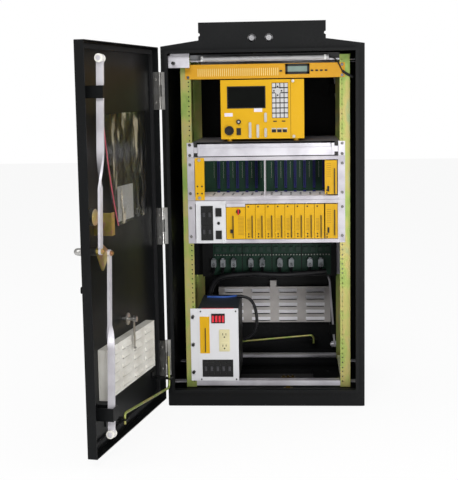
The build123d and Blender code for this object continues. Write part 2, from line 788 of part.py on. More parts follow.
# Circuit breakers: the rack's double row, the power unit's row and its four red switches
breaker_depth = 4.0
with BuildPart() as circuit_breakers:
    with BuildSketch(from_front(module_front)):
        panel(-195.5, -158.0, lower_top - 123.0, lower_top - 16.0)
    extrude(amount=2.0)
    with BuildSketch(from_front(module_front - 2)):
        with Locations((-176.8, lower_top - 69.5)):
            with GridLocations(18.0, 53.0, 2, 2):
                Rectangle(15, 40)
    extrude(amount=3)
    for z in (lower_top - 35.0, lower_top - 105.0):
        span((-150.0, -131.5), (module_front - 5, module_front), (z - 14, z + 12))
    with BuildSketch(from_front(module_front)):
        with Locations((-141.0, lower_top - 70.0)):
            Circle(4.5)
    extrude(amount=4)
    with BuildSketch(from_front(power_face)):
        panel(-199.5, -103.0, 83.5, 138.5)
    extrude(amount=1.5)
    with BuildSketch(from_front(power_face - 1.5)):
        with Locations((-151.3, 111.0)):
            with GridLocations(18.6, 1, 5, 1):
                Rectangle(14.5, 40)
    extrude(amount=2.5)
    with BuildSketch(from_front(power_face)):
        panel(-169.5, -127.0, 255.0, 285.5)
    extrude(amount=1.5)
    with BuildSketch(from_front(power_face - 1.5)):
        with Locations((-148.3, 269.5)):
            with GridLocations(10.2, 1, 4, 1):
                Rectangle(8, 20)
    extrude(amount=2.5)
    with BuildSketch(from_front(power_face)):
        panel(-206.0, -175.5, 159.0, 276.0)
    extrude(amount=1.2)
    span((-189.8, -187.6), (power_face - 5, power_face - 1.2), (163, 240))
circuit_breakers.part.label = "circuit_breakers"

# Rack screws through every ear
screw_rows = list(display_rows) + list(drawer_rows)
for level in (rack_top, lower_top):
    screw_rows += [level - unit + hole_in_unit[1], level - rack_units * unit + hole_in_unit[1]]
screw_places = [(rack_centre + side * rack_hole_spacing / 2, row) for side in (-1, 1) for row in screw_rows]
screw_places += [(rack_centre - rack_hole_spacing / 2, row) for row in power_rows]

with BuildPart() as rack_screws:
    with BuildSketch(from_front(panel_front)):
        with Locations(*screw_places):
            RegularPolygon(screw_head_radius, 12)
    extrude(amount=screw_head)
    with BuildSketch(from_front(panel_front)):
        with Locations(*screw_places):
            RegularPolygon(screw_radius, 6)
    extrude(amount=-panel_sheet)
rack_screws.part.label = "rack_screws"

# Plugs along the foot of the field boards, and the black harness that hangs from them
plug_x = (-180.0, -149.0, -113.0, -55.0, -17.0, 42.0, 80.0, 142.0, 178.0)
plug_z = 401.0
plug_size = (17.0, 22.0, 26.0)
trunk_z = 368.0
trunk_y = field_y - 44.0
trunk_radius = 9.0
drop_radius = 5.0

with BuildPart() as field_plugs:
    with Locations(*[(x, field_y - plug_size[1] / 2, plug_z) for x in plug_x]):
        Box(*plug_size)
    fillet(field_plugs.edges().filter_by(Axis.Y), 3)
    with Locations(*[(x, field_y - plug_size[1] / 2, plug_z + plug_size[2] / 2 + 2) for x in plug_x]):
        Box(9, 12, 4)
field_plugs.part.label = "field_plugs"


def corner_radii(route, limit=0.45):
    """The arc at each corner of a cord's route, as large as its two runs allow."""
    radii = []
    for before, corner, after in zip(route, route[1:], route[2:]):
        run_in = Vector(*corner) - Vector(*before)
        run_out = Vector(*after) - Vector(*corner)
        half_turn = radians(run_in.get_angle(run_out)) / 2
        radii.append(limit * min(run_in.length, run_out.length) / tan(half_turn))
    return radii


def cord(route, radius):
    """A round cord along straight runs joined by arcs, in the piece being built."""
    with BuildLine() as path:
        FilletPolyline(*route, radius=corner_radii(route))
    with BuildSketch(Plane(origin=path.line @ 0, z_dir=path.line % 0)) as section:
        Circle(radius)
    sweep(section.sketch, path=path.line)


trunk_route = [
    (196, trunk_y - 2, trunk_z + 9),
    (150, trunk_y, trunk_z + 3),
    (104, trunk_y + 4, trunk_z),
    (58, trunk_y + 1, trunk_z - 3),
    (12, trunk_y - 3, trunk_z - 1),
    (-34, trunk_y, trunk_z + 2),
    (-80, trunk_y + 4, trunk_z - 1),
    (-126, trunk_y, trunk_z - 4),
    (-168, trunk_y + 6, trunk_z - 14),
    (-192, trunk_y + 10, trunk_z - 50),
    (-199, trunk_y + 14, trunk_z - 98),
]
with BuildPart() as field_harness:
    cord(trunk_route, trunk_radius)
    for x in plug_x:
        foot = plug_z - plug_size[2] / 2
        mid = field_y - plug_size[1] / 2
        drop_top = Vector(x, mid, foot - 4.5)
        drop = Vector(x - 3, trunk_y + 9, trunk_z) - drop_top
        with BuildSketch(Plane(origin=drop_top, z_dir=drop)) as drop_end:
            Circle(drop_radius)
        extrude(drop_end.sketch, amount=drop.length)
field_harness.part.label = "field_harness"

# Power unit's leads: a black lead that arches off its top, and a blue lead across its top
power_top = power_z[1]
black_route = [
    (-98, rack_front + 176, power_top + 5.05),
    (-66, rack_front + 176, power_top + 5.05),
    (-44, rack_front + 172, power_top - 16),
    (-34, rack_front + 164, power_top - 50),
    (-33, rack_front + 160, power_top - 92),
    (-48, rack_front + 164, power_top - 126),
    (-78, rack_front + 172, power_top - 138),
]
blue_route = [
    (-196, rack_front + 180, power_top + 3.25),
    (-160, rack_front + 172, power_top + 3.25),
    (-122, rack_front + 176, power_top + 3.25),
    (-98, rack_front + 196, power_top + 3.25),
]
with BuildPart() as power_leads:
    cord(black_route, 5.0)
    cord(blue_route, 3.2)
power_leads.part.label = "power_leads"

# Lamp's lead down the right side, ending in a thicker sleeve
lead_start = tube_x[1] + 9
lead_reach = wall_inner - 29.6 - lead_start
lamp_lead_route = [
    (lead_start, tube_y, tube_z),
    (lead_start + 0.15 * lead_reach, tube_y, tube_z),
    (lead_start + 0.34 * lead_reach, rack_front - 8, tube_z - 10),
    (lead_start + 0.45 * lead_reach, rack_front - 7, tube_z - 26),
    (lead_start + 0.56 * lead_reach, rack_front - 7, tube_z - 42),
]
sleeve_route = [
    lamp_lead_route[-1],
    (lead_start + 0.78 * lead_reach, rack_front - 7.5, tube_z - 53),
    (lead_start + lead_reach, rack_front - 3, tube_z - 61),
]
with BuildPart() as lamp_lead:
    cord(lamp_lead_route, 1.8)
    cord(sleeve_route, 4.0)
lamp_lead.part.label = "lamp_lead"

# Brass ground lug: a drilled bar on a foot bolted to the base pan, with its clamp screws
lug_y = front_y + 190.0
lug_x = (44.0, 90.0)
lug_height = 34.0
with BuildPart() as ground_lug:
    span(lug_x, (lug_y - 9, lug_y + 9), (lug_height - 9, lug_height + 9))
    span((60, 74), (lug_y - 9, lug_y + 9), (body_sheet, lug_height))
    span((52, 82), (lug_y - 20, lug_y + 9), (body_sheet, body_sheet + 3))
    with BuildSketch(Plane.XZ.offset(-lug_y - 9)):
        with Locations((52, lug_height), (82, lug_height)):
            Circle(4.5)
    extrude(amount=18, mode=Mode.SUBTRACT)
    with BuildSketch(Plane.XY.offset(lug_height + 9)):
        with Locations((52, lug_y), (67, lug_y), (82, lug_y)):
            RegularPolygon(4.5, 6)
    extrude(amount=5)
ground_lug.part.label = "ground_lug"

# Hinges: the leaf, end knuckles and pin that stay with the frame
knuckle = hinge_height / 3
leaf_edge = lip_left - 1.0

with BuildPart() as frame_hinges:
    for centre in hinge_heights:
        foot = centre - hinge_height / 2
        for base in (foot, foot + 2 * knuckle):
            with BuildSketch(Plane.XY.offset(base)):
                with Locations((pin_x, pin_y)):
                    Circle(barrel_radius)
            extrude(amount=knuckle - clearance)
            leaf_y = (front_y - 2.0, front_y)
            span((pin_x, leaf_edge), leaf_y, (base, base + knuckle - clearance))
        span((pin_x + barrel_radius + 1, leaf_edge), leaf_y, (foot, foot + hinge_height - clearance))
        with BuildSketch(Plane.XY.offset(foot)):
            with Locations((pin_x, pin_y)):
                Circle(pin_radius)
        extrude(amount=hinge_height - clearance)
    mirror(about=Plane.XZ)
frame_hinges.part.label = "frame_hinges"

# Front door, modelled closed and swung open at the end
flange_y = front_y - door_gap
skin_y = flange_y - door_flange + door_sheet
door_face = skin_y - door_sheet

with BuildPart() as front_door:
    with BuildSketch(from_front(door_face)):
        panel(door_left, door_right, door_bottom, door_top, 3)
    extrude(amount=-door_flange)
    with BuildSketch(from_front(skin_y)):
        panel(door_left + door_sheet, door_right - door_sheet, door_bottom + door_sheet, door_top - door_sheet)
    extrude(amount=-door_flange, mode=Mode.SUBTRACT)
    with BuildSketch(from_front(door_face)):
        with Locations((shaft_x, shaft_z)):
            Circle(shaft_radius + running)
    extrude(amount=-door_sheet, mode=Mode.SUBTRACT)
    # Padlock hasp below the handle, outside
    with BuildSketch(from_front(door_face)):
        with Locations((shaft_x, shaft_z - 101.6)):
            RectangleRounded(18, 18, 6)
    extrude(amount=26)
front_door.part.label = "front_door"

gasket_width = 12.0
with BuildPart() as door_gasket:
    with BuildSketch(from_front(skin_y)):
        panel(lip_left - 1.5, lip_right + 1.0, lip_bottom - 1.5, lip_top + 1.5, lip_corner)
        panel(
            lip_left - 1.5 + gasket_width,
            lip_right + 1.0 - gasket_width,
            lip_bottom - 1.5 + gasket_width,
            lip_top + 1.5 - gasket_width,
            4,
            Mode.SUBTRACT,
        )
    extrude(amount=-(front_y - lip_depth - skin_y - clearance))
door_gasket.part.label = "door_gasket"

# Hinge leaves on the door: middle knuckle, crank past the flange and the leaf inside it
with BuildPart() as door_hinges:
    crossing_y = (flange_y + 0.25, flange_y + 0.25 + leaf_sheet)
    leaf_x = (door_left + door_sheet + clearance, door_left + door_sheet + clearance + leaf_sheet)
    for centre in hinge_heights:
        foot = centre - hinge_height / 2
        middle = (foot + knuckle, foot + 2 * knuckle - clearance)
        with BuildSketch(Plane.XY.offset(middle[0])):
            with Locations((pin_x, pin_y)):
                Circle(barrel_radius)
        extrude(amount=middle[1] - middle[0])
        span((pin_x, leaf_x[1]), crossing_y, middle)
        with BuildSketch(Plane.XY.offset(middle[0])):
            with Locations((pin_x, pin_y)):
                Circle(pin_radius + running)
        extrude(amount=middle[1] - middle[0], mode=Mode.SUBTRACT)
        span(leaf_x, (skin_y + 2, crossing_y[1]), (foot, foot + hinge_height))
        with BuildSketch(Plane.YZ.offset(leaf_x[1])):
            with Locations(*[(skin_y + 13, centre + shift) for shift in (-34, 34)]):
                Circle(5)
        extrude(amount=2.6, taper=25)
door_hinges.part.label = "door_hinges"

# Filter housing with twenty louvres, and its clamp disc
filter_x = (-193.0, 202.0)
filter_z = (160.0, 298.0)
filter_depth = 25.5
louvre_size = (66.0, 12.0)
louvre_pitch = (96.0, 25.5)
louvre_rise = 5.5
filter_sheet = 1.5


def louvred_housing(x_sides, z_sides):
    """A shallow box on a door's skin, with rows of hooded louvres pressed out of its face."""
    face = skin_y + filter_depth
    with BuildSketch(from_front(skin_y)) as box:
        panel(*x_sides, *z_sides)
    extrude(box.sketch, amount=-filter_depth)
    with BuildSketch(from_front(skin_y)) as hollow:
        panel(x_sides[0] + filter_sheet, x_sides[1] - filter_sheet, z_sides[0] + filter_sheet, z_sides[1] - filter_sheet)
    extrude(hollow.sketch, amount=-(filter_depth - filter_sheet), mode=Mode.SUBTRACT)
    centre = ((x_sides[0] + x_sides[1]) / 2, (z_sides[0] + z_sides[1]) / 2)
    left = centre[0] - 1.5 * louvre_pitch[0] - louvre_size[0] / 2
    for column in range(4):
        with BuildSketch(Plane.YZ.offset(left + column * louvre_pitch[0])) as hoods:
            for row in range(5):
                top = centre[1] + (row - 2) * louvre_pitch[1] + louvre_size[1] / 2
                outline((face, top), (face, top - louvre_size[1]), (face + louvre_rise, top - louvre_size[1] + 2))
        extrude(hoods.sketch, amount=louvre_size[0])
    with BuildSketch(from_front(skin_y)) as vents:
        with Locations(centre):
            with GridLocations(*louvre_pitch, 4, 5):
                with Locations((0, -louvre_size[1] / 2 - 1.5)):
                    Rectangle(louvre_size[0] - 6, 3)
    extrude(vents.sketch, amount=-filter_depth - 1, mode=Mode.SUBTRACT)


with BuildPart() as filter_housing:
    louvred_housing(filter_x, filter_z)
filter_housing.part.label = "filter_housing"

clip_x = 5.0
clip_z = 343.0
clip_post_radius = 5.0
with BuildPart() as filter_clip:
    with BuildSketch(from_front(skin_y)):
        with Locations((clip_x, clip_z)):
            Circle(clip_post_radius)
    extrude(amount=-34)
    with BuildSketch(from_front(skin_y + 14)):
        with Locations((clip_x, clip_z)):
            Circle(17)
    extrude(amount=-3)
    with BuildSketch(from_front(skin_y + 32)):
        with Locations((clip_x, clip_z)):
            Circle(9)
        panel(clip_x - 6.5, clip_x + 6.5, clip_z - 82, clip_z)
    extrude(amount=-2)
    span((clip_x - 6.5, clip_x + 6.5), (skin_y + 32, skin_y + 38), (clip_z - 84, clip_z - 82))
    with BuildSketch(from_front(skin_y + 34)):
        with Locations((clip_x, clip_z)):
            Circle(8)
    extrude(amount=-8)
filter_clip.part.label = "filter_clip"

# Lock case on the skin and the bent bracket that carries the lock's bolt
lock_z = 655.0
with BuildPart() as lock_bracket:
    with BuildSketch(from_front(skin_y)):
        with Locations((shaft_x - 4, lock_z)):
            Circle(22)
    extrude(amount=-14)
    with BuildSketch(Plane.XY.offset(604)):
        outline(
            (shaft_x - 30, skin_y),
            (shaft_x - 27, skin_y),
            (shaft_x - 27, skin_y + 50),
            (shaft_x - 50, skin_y + 50),
            (shaft_x - 50, skin_y + 47),
            (shaft_x - 30, skin_y + 47),
        )
    extrude(amount=60)
lock_bracket.part.label = "lock_bracket"

# Stay rod along the foot of the door, cranked down into its pivot and its catch
stay_pivot = (-240.0, front_y + 25.0)
stay_radius = 3.6
stay_catch_x = 155.0
stay_levels = (80.0, 115.0)
tab_sheet = 3.0
pivot_tab_z = 108.0
catch_tab_z = 98.0

with BuildPart() as stay_rod:
    route = (
        (stay_pivot[0], stay_pivot[1], 178),
        (stay_pivot[0], stay_pivot[1], stay_levels[0]),
        (stay_catch_x, stay_pivot[1], stay_levels[1]),
        (stay_catch_x, stay_pivot[1], 85),
    )
    with BuildLine() as stay_line:
        FilletPolyline(*route, radius=12)
    with BuildSketch(Plane(origin=stay_line.line @ 0, z_dir=stay_line.line % 0)):
        Circle(stay_radius)
    sweep(path=stay_line.line)
stay_rod.part.label = "stay_rod"

# Straps from the door's skin round each latch rod, and the stay rod's pivot and catch tabs
guide_half_width = 18.0
guide_shift = (4.0, 0.0)
guide_reach = 56.0
guide_sheet = 3.0
guide_heights = ((960.0, 992.0), (118.0, 153.0))
with BuildPart() as rod_guides:
    for z, shift in zip(guide_heights, guide_shift):
        guide_x = (shaft_x + shift - guide_half_width, shaft_x + shift + guide_half_width)
        with BuildSketch(Plane.XY.offset(z[0])):
            panel(guide_x[0], guide_x[1], skin_y, skin_y + guide_reach)
            panel(
                guide_x[0] + guide_sheet,
                guide_x[1] - guide_sheet,
                skin_y,
                skin_y + guide_reach - guide_sheet,
                mode=Mode.SUBTRACT,
            )
        extrude(amount=z[1] - z[0])
    with BuildSketch(Plane.XY.offset(pivot_tab_z)):
        panel(stay_pivot[0] - 12, stay_pivot[0] + 12, skin_y, stay_pivot[1] + 10)
        with Locations(stay_pivot):
            Circle(stay_radius + running, mode=Mode.SUBTRACT)
    extrude(amount=tab_sheet)
    span((stay_pivot[0] - 12, stay_pivot[0] + 12), (skin_y, skin_y + tab_sheet), (pivot_tab_z, pivot_tab_z + 20))
    with BuildSketch(Plane.XY.offset(catch_tab_z)):
        panel(stay_catch_x - 13, stay_catch_x + 13, skin_y, stay_pivot[1] + 9)
        with Locations((stay_catch_x, stay_pivot[1])):
            Circle(stay_radius + clearance, mode=Mode.SUBTRACT)
        notch = stay_radius + clearance
        panel(stay_catch_x - notch, stay_catch_x + notch, stay_pivot[1], stay_pivot[1] + 20, mode=Mode.SUBTRACT)
    extrude(amount=tab_sheet)
    catch_foot = (catch_tab_z - 20, catch_tab_z)
    span((stay_catch_x - 13, stay_catch_x + 13), (skin_y, skin_y + tab_sheet), catch_foot)
rod_guides.part.label = "rod_guides"

# Document pouch: a limp clear sheet glued along its hinge side, whose free corner lifts off the skin
pouch_y = skin_y + 0.5
pouch_sheet = 1.2
pouch_lifts = ((-232, 0), (-60, 1.5), (40, 5), (110, 11), (155, 18), (190, 26))
with BuildPart() as document_pouch:
    with BuildSketch(Plane.XY.offset(600)):
        near = [(x, pouch_y + lift) for x, lift in pouch_lifts]
        outline(*near, *[(x, y + pouch_sheet) for x, y in reversed(near)])
    extrude(amount=325)
    with BuildSketch(from_front(pouch_y - 2)):
        panel(-260, 220, 590, 935)
        with BuildLine():
            Polyline((42, 609), (-228, 616), (-232, 918), (190, 918), (154, 826), (118, 742), (84, 662), close=True)
        make_face(mode=Mode.SUBTRACT)
    extrude(amount=-40, mode=Mode.SUBTRACT)
document_pouch.part.label = "document_pouch"

with BuildPart() as document_sheets:
    with BuildSketch(from_front(pouch_y - 0.3)):
        panel(-108, 18, 618, 716)
    extrude(amount=-0.4)
document_sheets.part.label = "document_sheets"

# Latch: handle, shaft and cam plate turn as one
crank_angle = radians(crank_rest)
upper_pin = (shaft_x + crank * cos(crank_angle), shaft_z + crank * sin(crank_angle))
lower_pin = (shaft_x - crank * cos(crank_angle), shaft_z - crank * sin(crank_angle))
cam_y = (front_y + body_sheet + 0.4, front_y + body_sheet + 3.4)
upper_rod_y = front_y + 13.5
lower_rod_y = front_y + 10.4
roller_y = front_y + body_sheet + roller_radius + clearance
grip_length = 130.0
grip_reach = 40.0

with BuildPart() as front_handle:
    with BuildSketch(from_front(door_face)):
        with Locations((shaft_x, shaft_z)):
            Circle(shaft_radius + 7)
    extrude(amount=6)
    handle_route = (
        (shaft_x, cam_y[1], shaft_z),
        (shaft_x, door_face - grip_reach, shaft_z),
        (shaft_x - grip_length * cos(crank_angle), door_face - grip_reach, shaft_z - grip_length * sin(crank_angle)),
    )
    with BuildLine() as handle_line:
        FilletPolyline(*handle_route, radius=18)
    with BuildSketch(Plane(origin=handle_line.line @ 0, z_dir=handle_line.line % 0)):
        Circle(shaft_radius)
    sweep(path=handle_line.line)
    with BuildSketch(from_front(cam_y[0])):
        with BuildLine():
            Polyline(
                upper_pin,
                (shaft_x + 10, shaft_z + 16),
                lower_pin,
                (shaft_x + 2, shaft_z - 39),
                close=True,
            )
        make_face()
        offset(amount=9, mode=Mode.REPLACE)
    extrude(amount=-(cam_y[1] - cam_y[0]))
    for pin, rod_y in ((upper_pin, upper_rod_y), (lower_pin, lower_rod_y)):
        rod_near = rod_y - rod_sheet / 2 - clearance
        rod_far = rod_y + rod_sheet / 2 + clearance
        with BuildSketch(from_front(cam_y[0])):
            with Locations(pin):
                Circle(crank_pin_radius)
        extrude(amount=-(rod_far + 8 - cam_y[0]))
        if rod_near > cam_y[1]:
            with BuildSketch(from_front(cam_y[1])):
                with Locations(pin):
                    Circle(7)
            extrude(amount=-(rod_near - cam_y[1]))
        with BuildSketch(from_front(rod_far)):
            with Locations(pin):
                RegularPolygon(6.5, 6, major_radius=False)
        extrude(amount=-5)
front_handle.part.label = "front_handle"


def rod_place(pin, length, direction):
    """The tip of a latch rod whose roller runs straight above or below the shaft."""
    drop = length * length - (pin[0] - shaft_x) ** 2
    return (shaft_x, pin[1] + direction * drop**0.5)


upper_tip = rod_place(upper_pin, upper_rod_length, 1)
lower_tip = rod_place(lower_pin, lower_rod_length, -1)


def latch_rod(pin, tip, pin_y_place, tip_y_place, twist_from, twist_to):
    """A flat bar with an eye at the cam, a quarter twist, and an edgewise end for its rollers."""
    start = Vector(pin[0], pin_y_place, pin[1])
    finish = Vector(tip[0], tip_y_place, tip[1])
    length = hypot(tip[0] - pin[0], tip[1] - pin[1])
    axis = Vector(tip[0] - pin[0], 0, tip[1] - pin[1]).normalized()
    across = Vector(axis.Z, 0, -axis.X)

    def section(distance, turn, y):
        centre = start + axis * distance
        side = across * cos(radians(turn)) + axis.cross(across) * sin(radians(turn))
        return Plane(origin=(centre.X, y, centre.Z), x_dir=side, z_dir=axis)

    with BuildSketch(section(8, 0, start.Y)) as flat:
        Rectangle(rod_width, rod_sheet)
    extrude(flat.sketch, amount=twist_from - 8)
    steps = 4
    with BuildPart(mode=Mode.PRIVATE) as twist:
        for step in range(steps + 1):
            share = step / steps
            distance = twist_from + share * (twist_to - twist_from)
            y = start.Y + share * (finish.Y - start.Y)
            with BuildSketch(section(distance, 90 * share, y)):
                Rectangle(rod_width, rod_sheet)
        loft(ruled=True)
    add(twist.part)
    with BuildSketch(section(twist_to, 90, finish.Y)) as edgewise:
        Rectangle(rod_width, rod_sheet)
    extrude(edgewise.sketch, amount=length - twist_to + 8)
    eye = Plane(origin=(start.X, start.Y - rod_sheet / 2, start.Z), x_dir=across, z_dir=(0, 1, 0))
    with BuildSketch(eye) as end:
        Circle(rod_width / 2)
    extrude(end.sketch, amount=rod_sheet)
    with BuildSketch(eye) as bore:
        Circle(crank_pin_radius + running)
    extrude(bore.sketch, amount=rod_sheet, mode=Mode.SUBTRACT)
    axle = Plane(origin=finish - across * (rod_sheet / 2 + roller_width + 3.5), z_dir=across)
    with BuildSketch(axle) as pin_end:
        Circle(4)
    extrude(pin_end.sketch, amount=rod_sheet + 2 * roller_width + 7)
    for shift in (0, rod_sheet + 2 * roller_width + 5):
        with BuildSketch(axle.offset(shift)) as washer:
            Circle(6)
        extrude(washer.sketch, amount=2)


def roller_pair(pin, tip, tip_y_place):
    """Two nylon rollers, one on each side of a rod's edgewise end."""
    axis = Vector(tip[0] - pin[0], 0, tip[1] - pin[1]).normalized()
    across = Vector(axis.Z, 0, -axis.X)
    finish = Vector(tip[0], tip_y_place, tip[1])
    for shift in (-rod_sheet / 2 - clearance - roller_width, rod_sheet / 2 + clearance):
        with BuildSketch(Plane(origin=finish + across * shift, z_dir=across)) as ring:
            Circle(roller_radius)
            Circle(4 + running, mode=Mode.SUBTRACT)
        extrude(ring.sketch, amount=roller_width)


with BuildPart() as upper_rod:
    latch_rod(upper_pin, upper_tip, upper_rod_y, roller_y, 160.0, 256.0)
upper_rod.part.label = "upper_rod"

with BuildPart() as lower_rod:
    latch_rod(lower_pin, lower_tip, lower_rod_y, roller_y, 190.0, 252.0)
lower_rod.part.label = "lower_rod"

with BuildPart() as upper_rollers:
    roller_pair(upper_pin, upper_tip, roller_y)
upper_rollers.part.label = "upper_rollers"

with BuildPart() as lower_rollers:
    roller_pair(lower_pin, lower_tip, roller_y)
lower_rollers.part.label = "lower_rollers"

# Rear door: the front door's pieces mirrored, shut, with what is fixed to the pan made one with it
with BuildPart() as rear_door:
    for piece in (front_door, door_hinges, rod_guides):
        mirror(piece.part, about=Plane.XZ)
rear_door.part.label = "rear_door"

rear_filter_x = (-180.0, 216.0)
with BuildPart() as rear_filter_housing:
    with BuildPart(mode=Mode.PRIVATE) as rear_box:
        louvred_housing(rear_filter_x, (filter_z[0] - 4, filter_z[0] + 124))
    mirror(rear_box.part, about=Plane.XZ)
rear_filter_housing.part.label = "rear_filter_housing"

with BuildPart() as rear_handle:
    mirror(front_handle.part, about=Plane.XZ)
rear_handle.part.label = "rear_handle"

with BuildPart() as rear_upper_rod:
    mirror(upper_rod.part, about=Plane.XZ)
    mirror(upper_rollers.part, about=Plane.XZ)
rear_upper_rod.part.label = "rear_upper_rod"

with BuildPart() as rear_lower_rod:
    mirror(lower_rod.part, about=Plane.XZ)
    mirror(lower_rollers.part, about=Plane.XZ)
rear_lower_rod.part.label = "rear_lower_rod"

with BuildPart() as rear_stay_rod:
    mirror(stay_rod.part, about=Plane.XZ)
rear_stay_rod.part.label = "rear_stay_rod"

# The front door and all it carries swing open about the hinge pins
front_swing = Location((pin_x, pin_y, 0)) * Location((0, 0, 0), (0, 0, -open_angle)) * Location((-pin_x, -pin_y, 0))
swinging = (
    front_door,
    door_gasket,
    door_hinges,
    filter_housing,
    filter_clip,
    rod_guides,
    lock_bracket,
    stay_rod,
    document_pouch,
    document_sheets,
    front_handle,
    upper_rod,
    lower_rod,
    upper_rollers,
    lower_rollers,
)
for piece in swinging:
    piece.part.move(front_swing)

standing = (
    left_wall,
    right_wall,
    base_pan,
    roof,
    front_frame,
    rear_frame,
    roof_bolts,
    front_rails,
    rear_rails,
    cage_braces,
    rack_screws,
    lamp_housing,
    lamp_tube,
    lamp_lead,
    switch_bracket,
    door_switch,
    display_panel,
    display_windows,
    controller_case,
    controller_sockets,
    keys,
    drawer_runners,
    drawer_tray,
    upper_rack,
    lower_rack,
    circuit_boards,
    card_connectors,
    rack_modules,
    module_pulls,
    service_panel,
    circuit_breakers,
    field_plugs,
    field_harness,
    power_case,
    power_panel,
    power_leads,
    duplex_outlet,
    ground_lug,
    frame_hinges,
    rear_door,
    rear_filter_housing,
    rear_handle,
    rear_upper_rod,
    rear_lower_rod,
    rear_stay_rod,
)
os.makedirs("parts", exist_ok=True)
for piece in swinging + standing:
    export_step(piece.part, f"parts/{piece.part.label}.step")
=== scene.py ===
from math import cos, pi, radians, sin

import bpy
from mathutils import Matrix, Vector


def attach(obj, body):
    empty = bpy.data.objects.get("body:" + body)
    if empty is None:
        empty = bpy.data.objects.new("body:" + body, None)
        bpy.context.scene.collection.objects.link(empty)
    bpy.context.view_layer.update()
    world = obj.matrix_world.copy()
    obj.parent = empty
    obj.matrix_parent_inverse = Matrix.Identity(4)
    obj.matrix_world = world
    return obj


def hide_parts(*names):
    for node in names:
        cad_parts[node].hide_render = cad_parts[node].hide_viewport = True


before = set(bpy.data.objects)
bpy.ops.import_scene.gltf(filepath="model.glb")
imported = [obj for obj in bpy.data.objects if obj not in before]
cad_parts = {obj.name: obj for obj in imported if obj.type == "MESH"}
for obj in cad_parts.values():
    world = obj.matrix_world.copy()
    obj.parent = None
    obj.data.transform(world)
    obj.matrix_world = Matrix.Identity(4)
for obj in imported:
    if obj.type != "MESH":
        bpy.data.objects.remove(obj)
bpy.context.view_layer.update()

# The camera stands a little to the right of the cabinet and above its middle, about three metres off,
# and looks slightly down. Its focal length is measured in dots of a picture that is 480 dots high.
cabinet_front = -0.257175
camera_place = Vector((0.10286, cabinet_front - 3.31285, 0.96941))
camera_turn = 0.0634624
camera_dip = 0.1339745
camera_roll = -0.0163167
focal_dots = 1095.65
picture_height = 480
film_height = 36

ahead = Vector((-sin(camera_turn), cos(camera_turn), 0))
right = Vector((cos(camera_turn), sin(camera_turn), 0))
up = Vector((0, 0, 1))
view_ahead = ahead * cos(camera_dip) - up * sin(camera_dip)
view_up = up * cos(camera_dip) + ahead * sin(camera_dip)
view_right = right * cos(camera_roll) + view_up * sin(camera_roll)
view_up = view_up * cos(camera_roll) - right * sin(camera_roll)
camera_data = bpy.data.cameras.new("camera")
camera_data.lens = focal_dots / picture_height * film_height
camera_data.sensor_width = film_height
camera = bpy.data.objects.new("camera", camera_data)
axes = Matrix((view_right, view_up, -view_ahead)).transposed().to_4x4()
camera.matrix_world = Matrix.Translation(camera_place) @ axes
bpy.context.scene.collection.objects.link(camera)
bpy.context.scene.camera = camera


# Leads held inside the cabinet: the lamp's lead, the field harness with its drops, the power lead and
# the blue bonding lead. They follow the same routes as the solids do, but are round in section, and
# their soft PVC sleeves are shaded like every other finish, by the class and functions that follow.
class Shade:
    """A node socket that can be used in sums, and from which further nodes are made."""

    def __init__(self, tree, socket=None):
        self.tree = tree
        self.socket = socket

    def node(self, kind, settings=(), sockets=(), output=0):
        """A new node with its settings and sockets filled in, taken by one of its outputs."""
        made = self.tree.nodes.new(kind)
        for name, value in dict(settings).items():
            if name == "stops":
                ramp = made.color_ramp
                while len(ramp.elements) < len(value):
                    ramp.elements.new(0.5)
                for element, (place, colour) in zip(ramp.elements, value):
                    element.position = place
                    element.color = colour
            else:
                setattr(made, name, value)
        for name, value in dict(sockets).items():
            if isinstance(value, Shade):
                self.tree.links.new(value.socket, made.inputs[name])
            else:
                made.inputs[name].default_value = value
        return Shade(self.tree, made.outputs[output] if len(made.outputs) else None)

    def maths(self, operation, *values):
        return self.node("ShaderNodeMath", {"operation": operation}, dict(enumerate(values)))

    def __add__(self, other):
        return self.maths("ADD", self, other)

    def __mul__(self, other):
        return self.maths("MULTIPLY", self, other)

    def place(self, stretch=(1, 1, 1)):
        """The point on the piece, in metres, with each direction scaled."""
        object_place = self.node("ShaderNodeTexCoord", output="Object")
        return self.node("ShaderNodeMapping", (), {"Vector": object_place, "Scale": stretch})

    def noise(self, scale, detail=2.0, stretch=(1, 1, 1)):
        """Cloudy variation from 0 to 1, with about so many lumps to the metre."""
        sockets = {"Vector": self.place(stretch), "Scale": scale, "Detail": detail}
        return self.node("ShaderNodeTexNoise", (), sockets)

    def band(self, low, high):
        """0 below a value and 1 above another, with a smooth rise between them."""
        settings = {"interpolation_type": "SMOOTHSTEP"}
        sockets = {"Value": self, "From Min": low, "From Max": high}
        return self.node("ShaderNodeMapRange", settings, sockets)

    def blend(self, first, second):
        """Two colours mixed by this value."""
        return self.node("ShaderNodeMix", {"data_type": "RGBA"}, {0: self, 6: first, 7: second}, 2)

    def bump(self, strength, distance):
        """A surface normal raised where this value is high."""
        return self.node("ShaderNodeBump", (), {"Height": self, "Strength": strength, "Distance": distance})


def tint(code):
    """A colour as seen on the finished piece, given in the usual six digits."""
    shown = [int(code[i : i + 2], 16) / 255 for i in (1, 3, 5)]
    return tuple(c / 12.92 if c <= 0.04045 else ((c + 0.055) / 1.055) ** 2.4 for c in shown) + (1.0,)


def finish(name, **sockets):
    """A material whose surface takes the values and patterns given for its sockets."""
    material = bpy.data.materials.new(name)
    material.use_nodes = True
    tree = material.node_tree
    tree.nodes.clear()
    start = Shade(tree)
    values = {}
    for key, value in sockets.items():
        values[key.replace("_", " ")] = value(start) if callable(value) else value
    surface = start.node("ShaderNodeBsdfPrincipled", (), values)
    start.node("ShaderNodeOutputMaterial", (), {"Surface": surface})
    return material


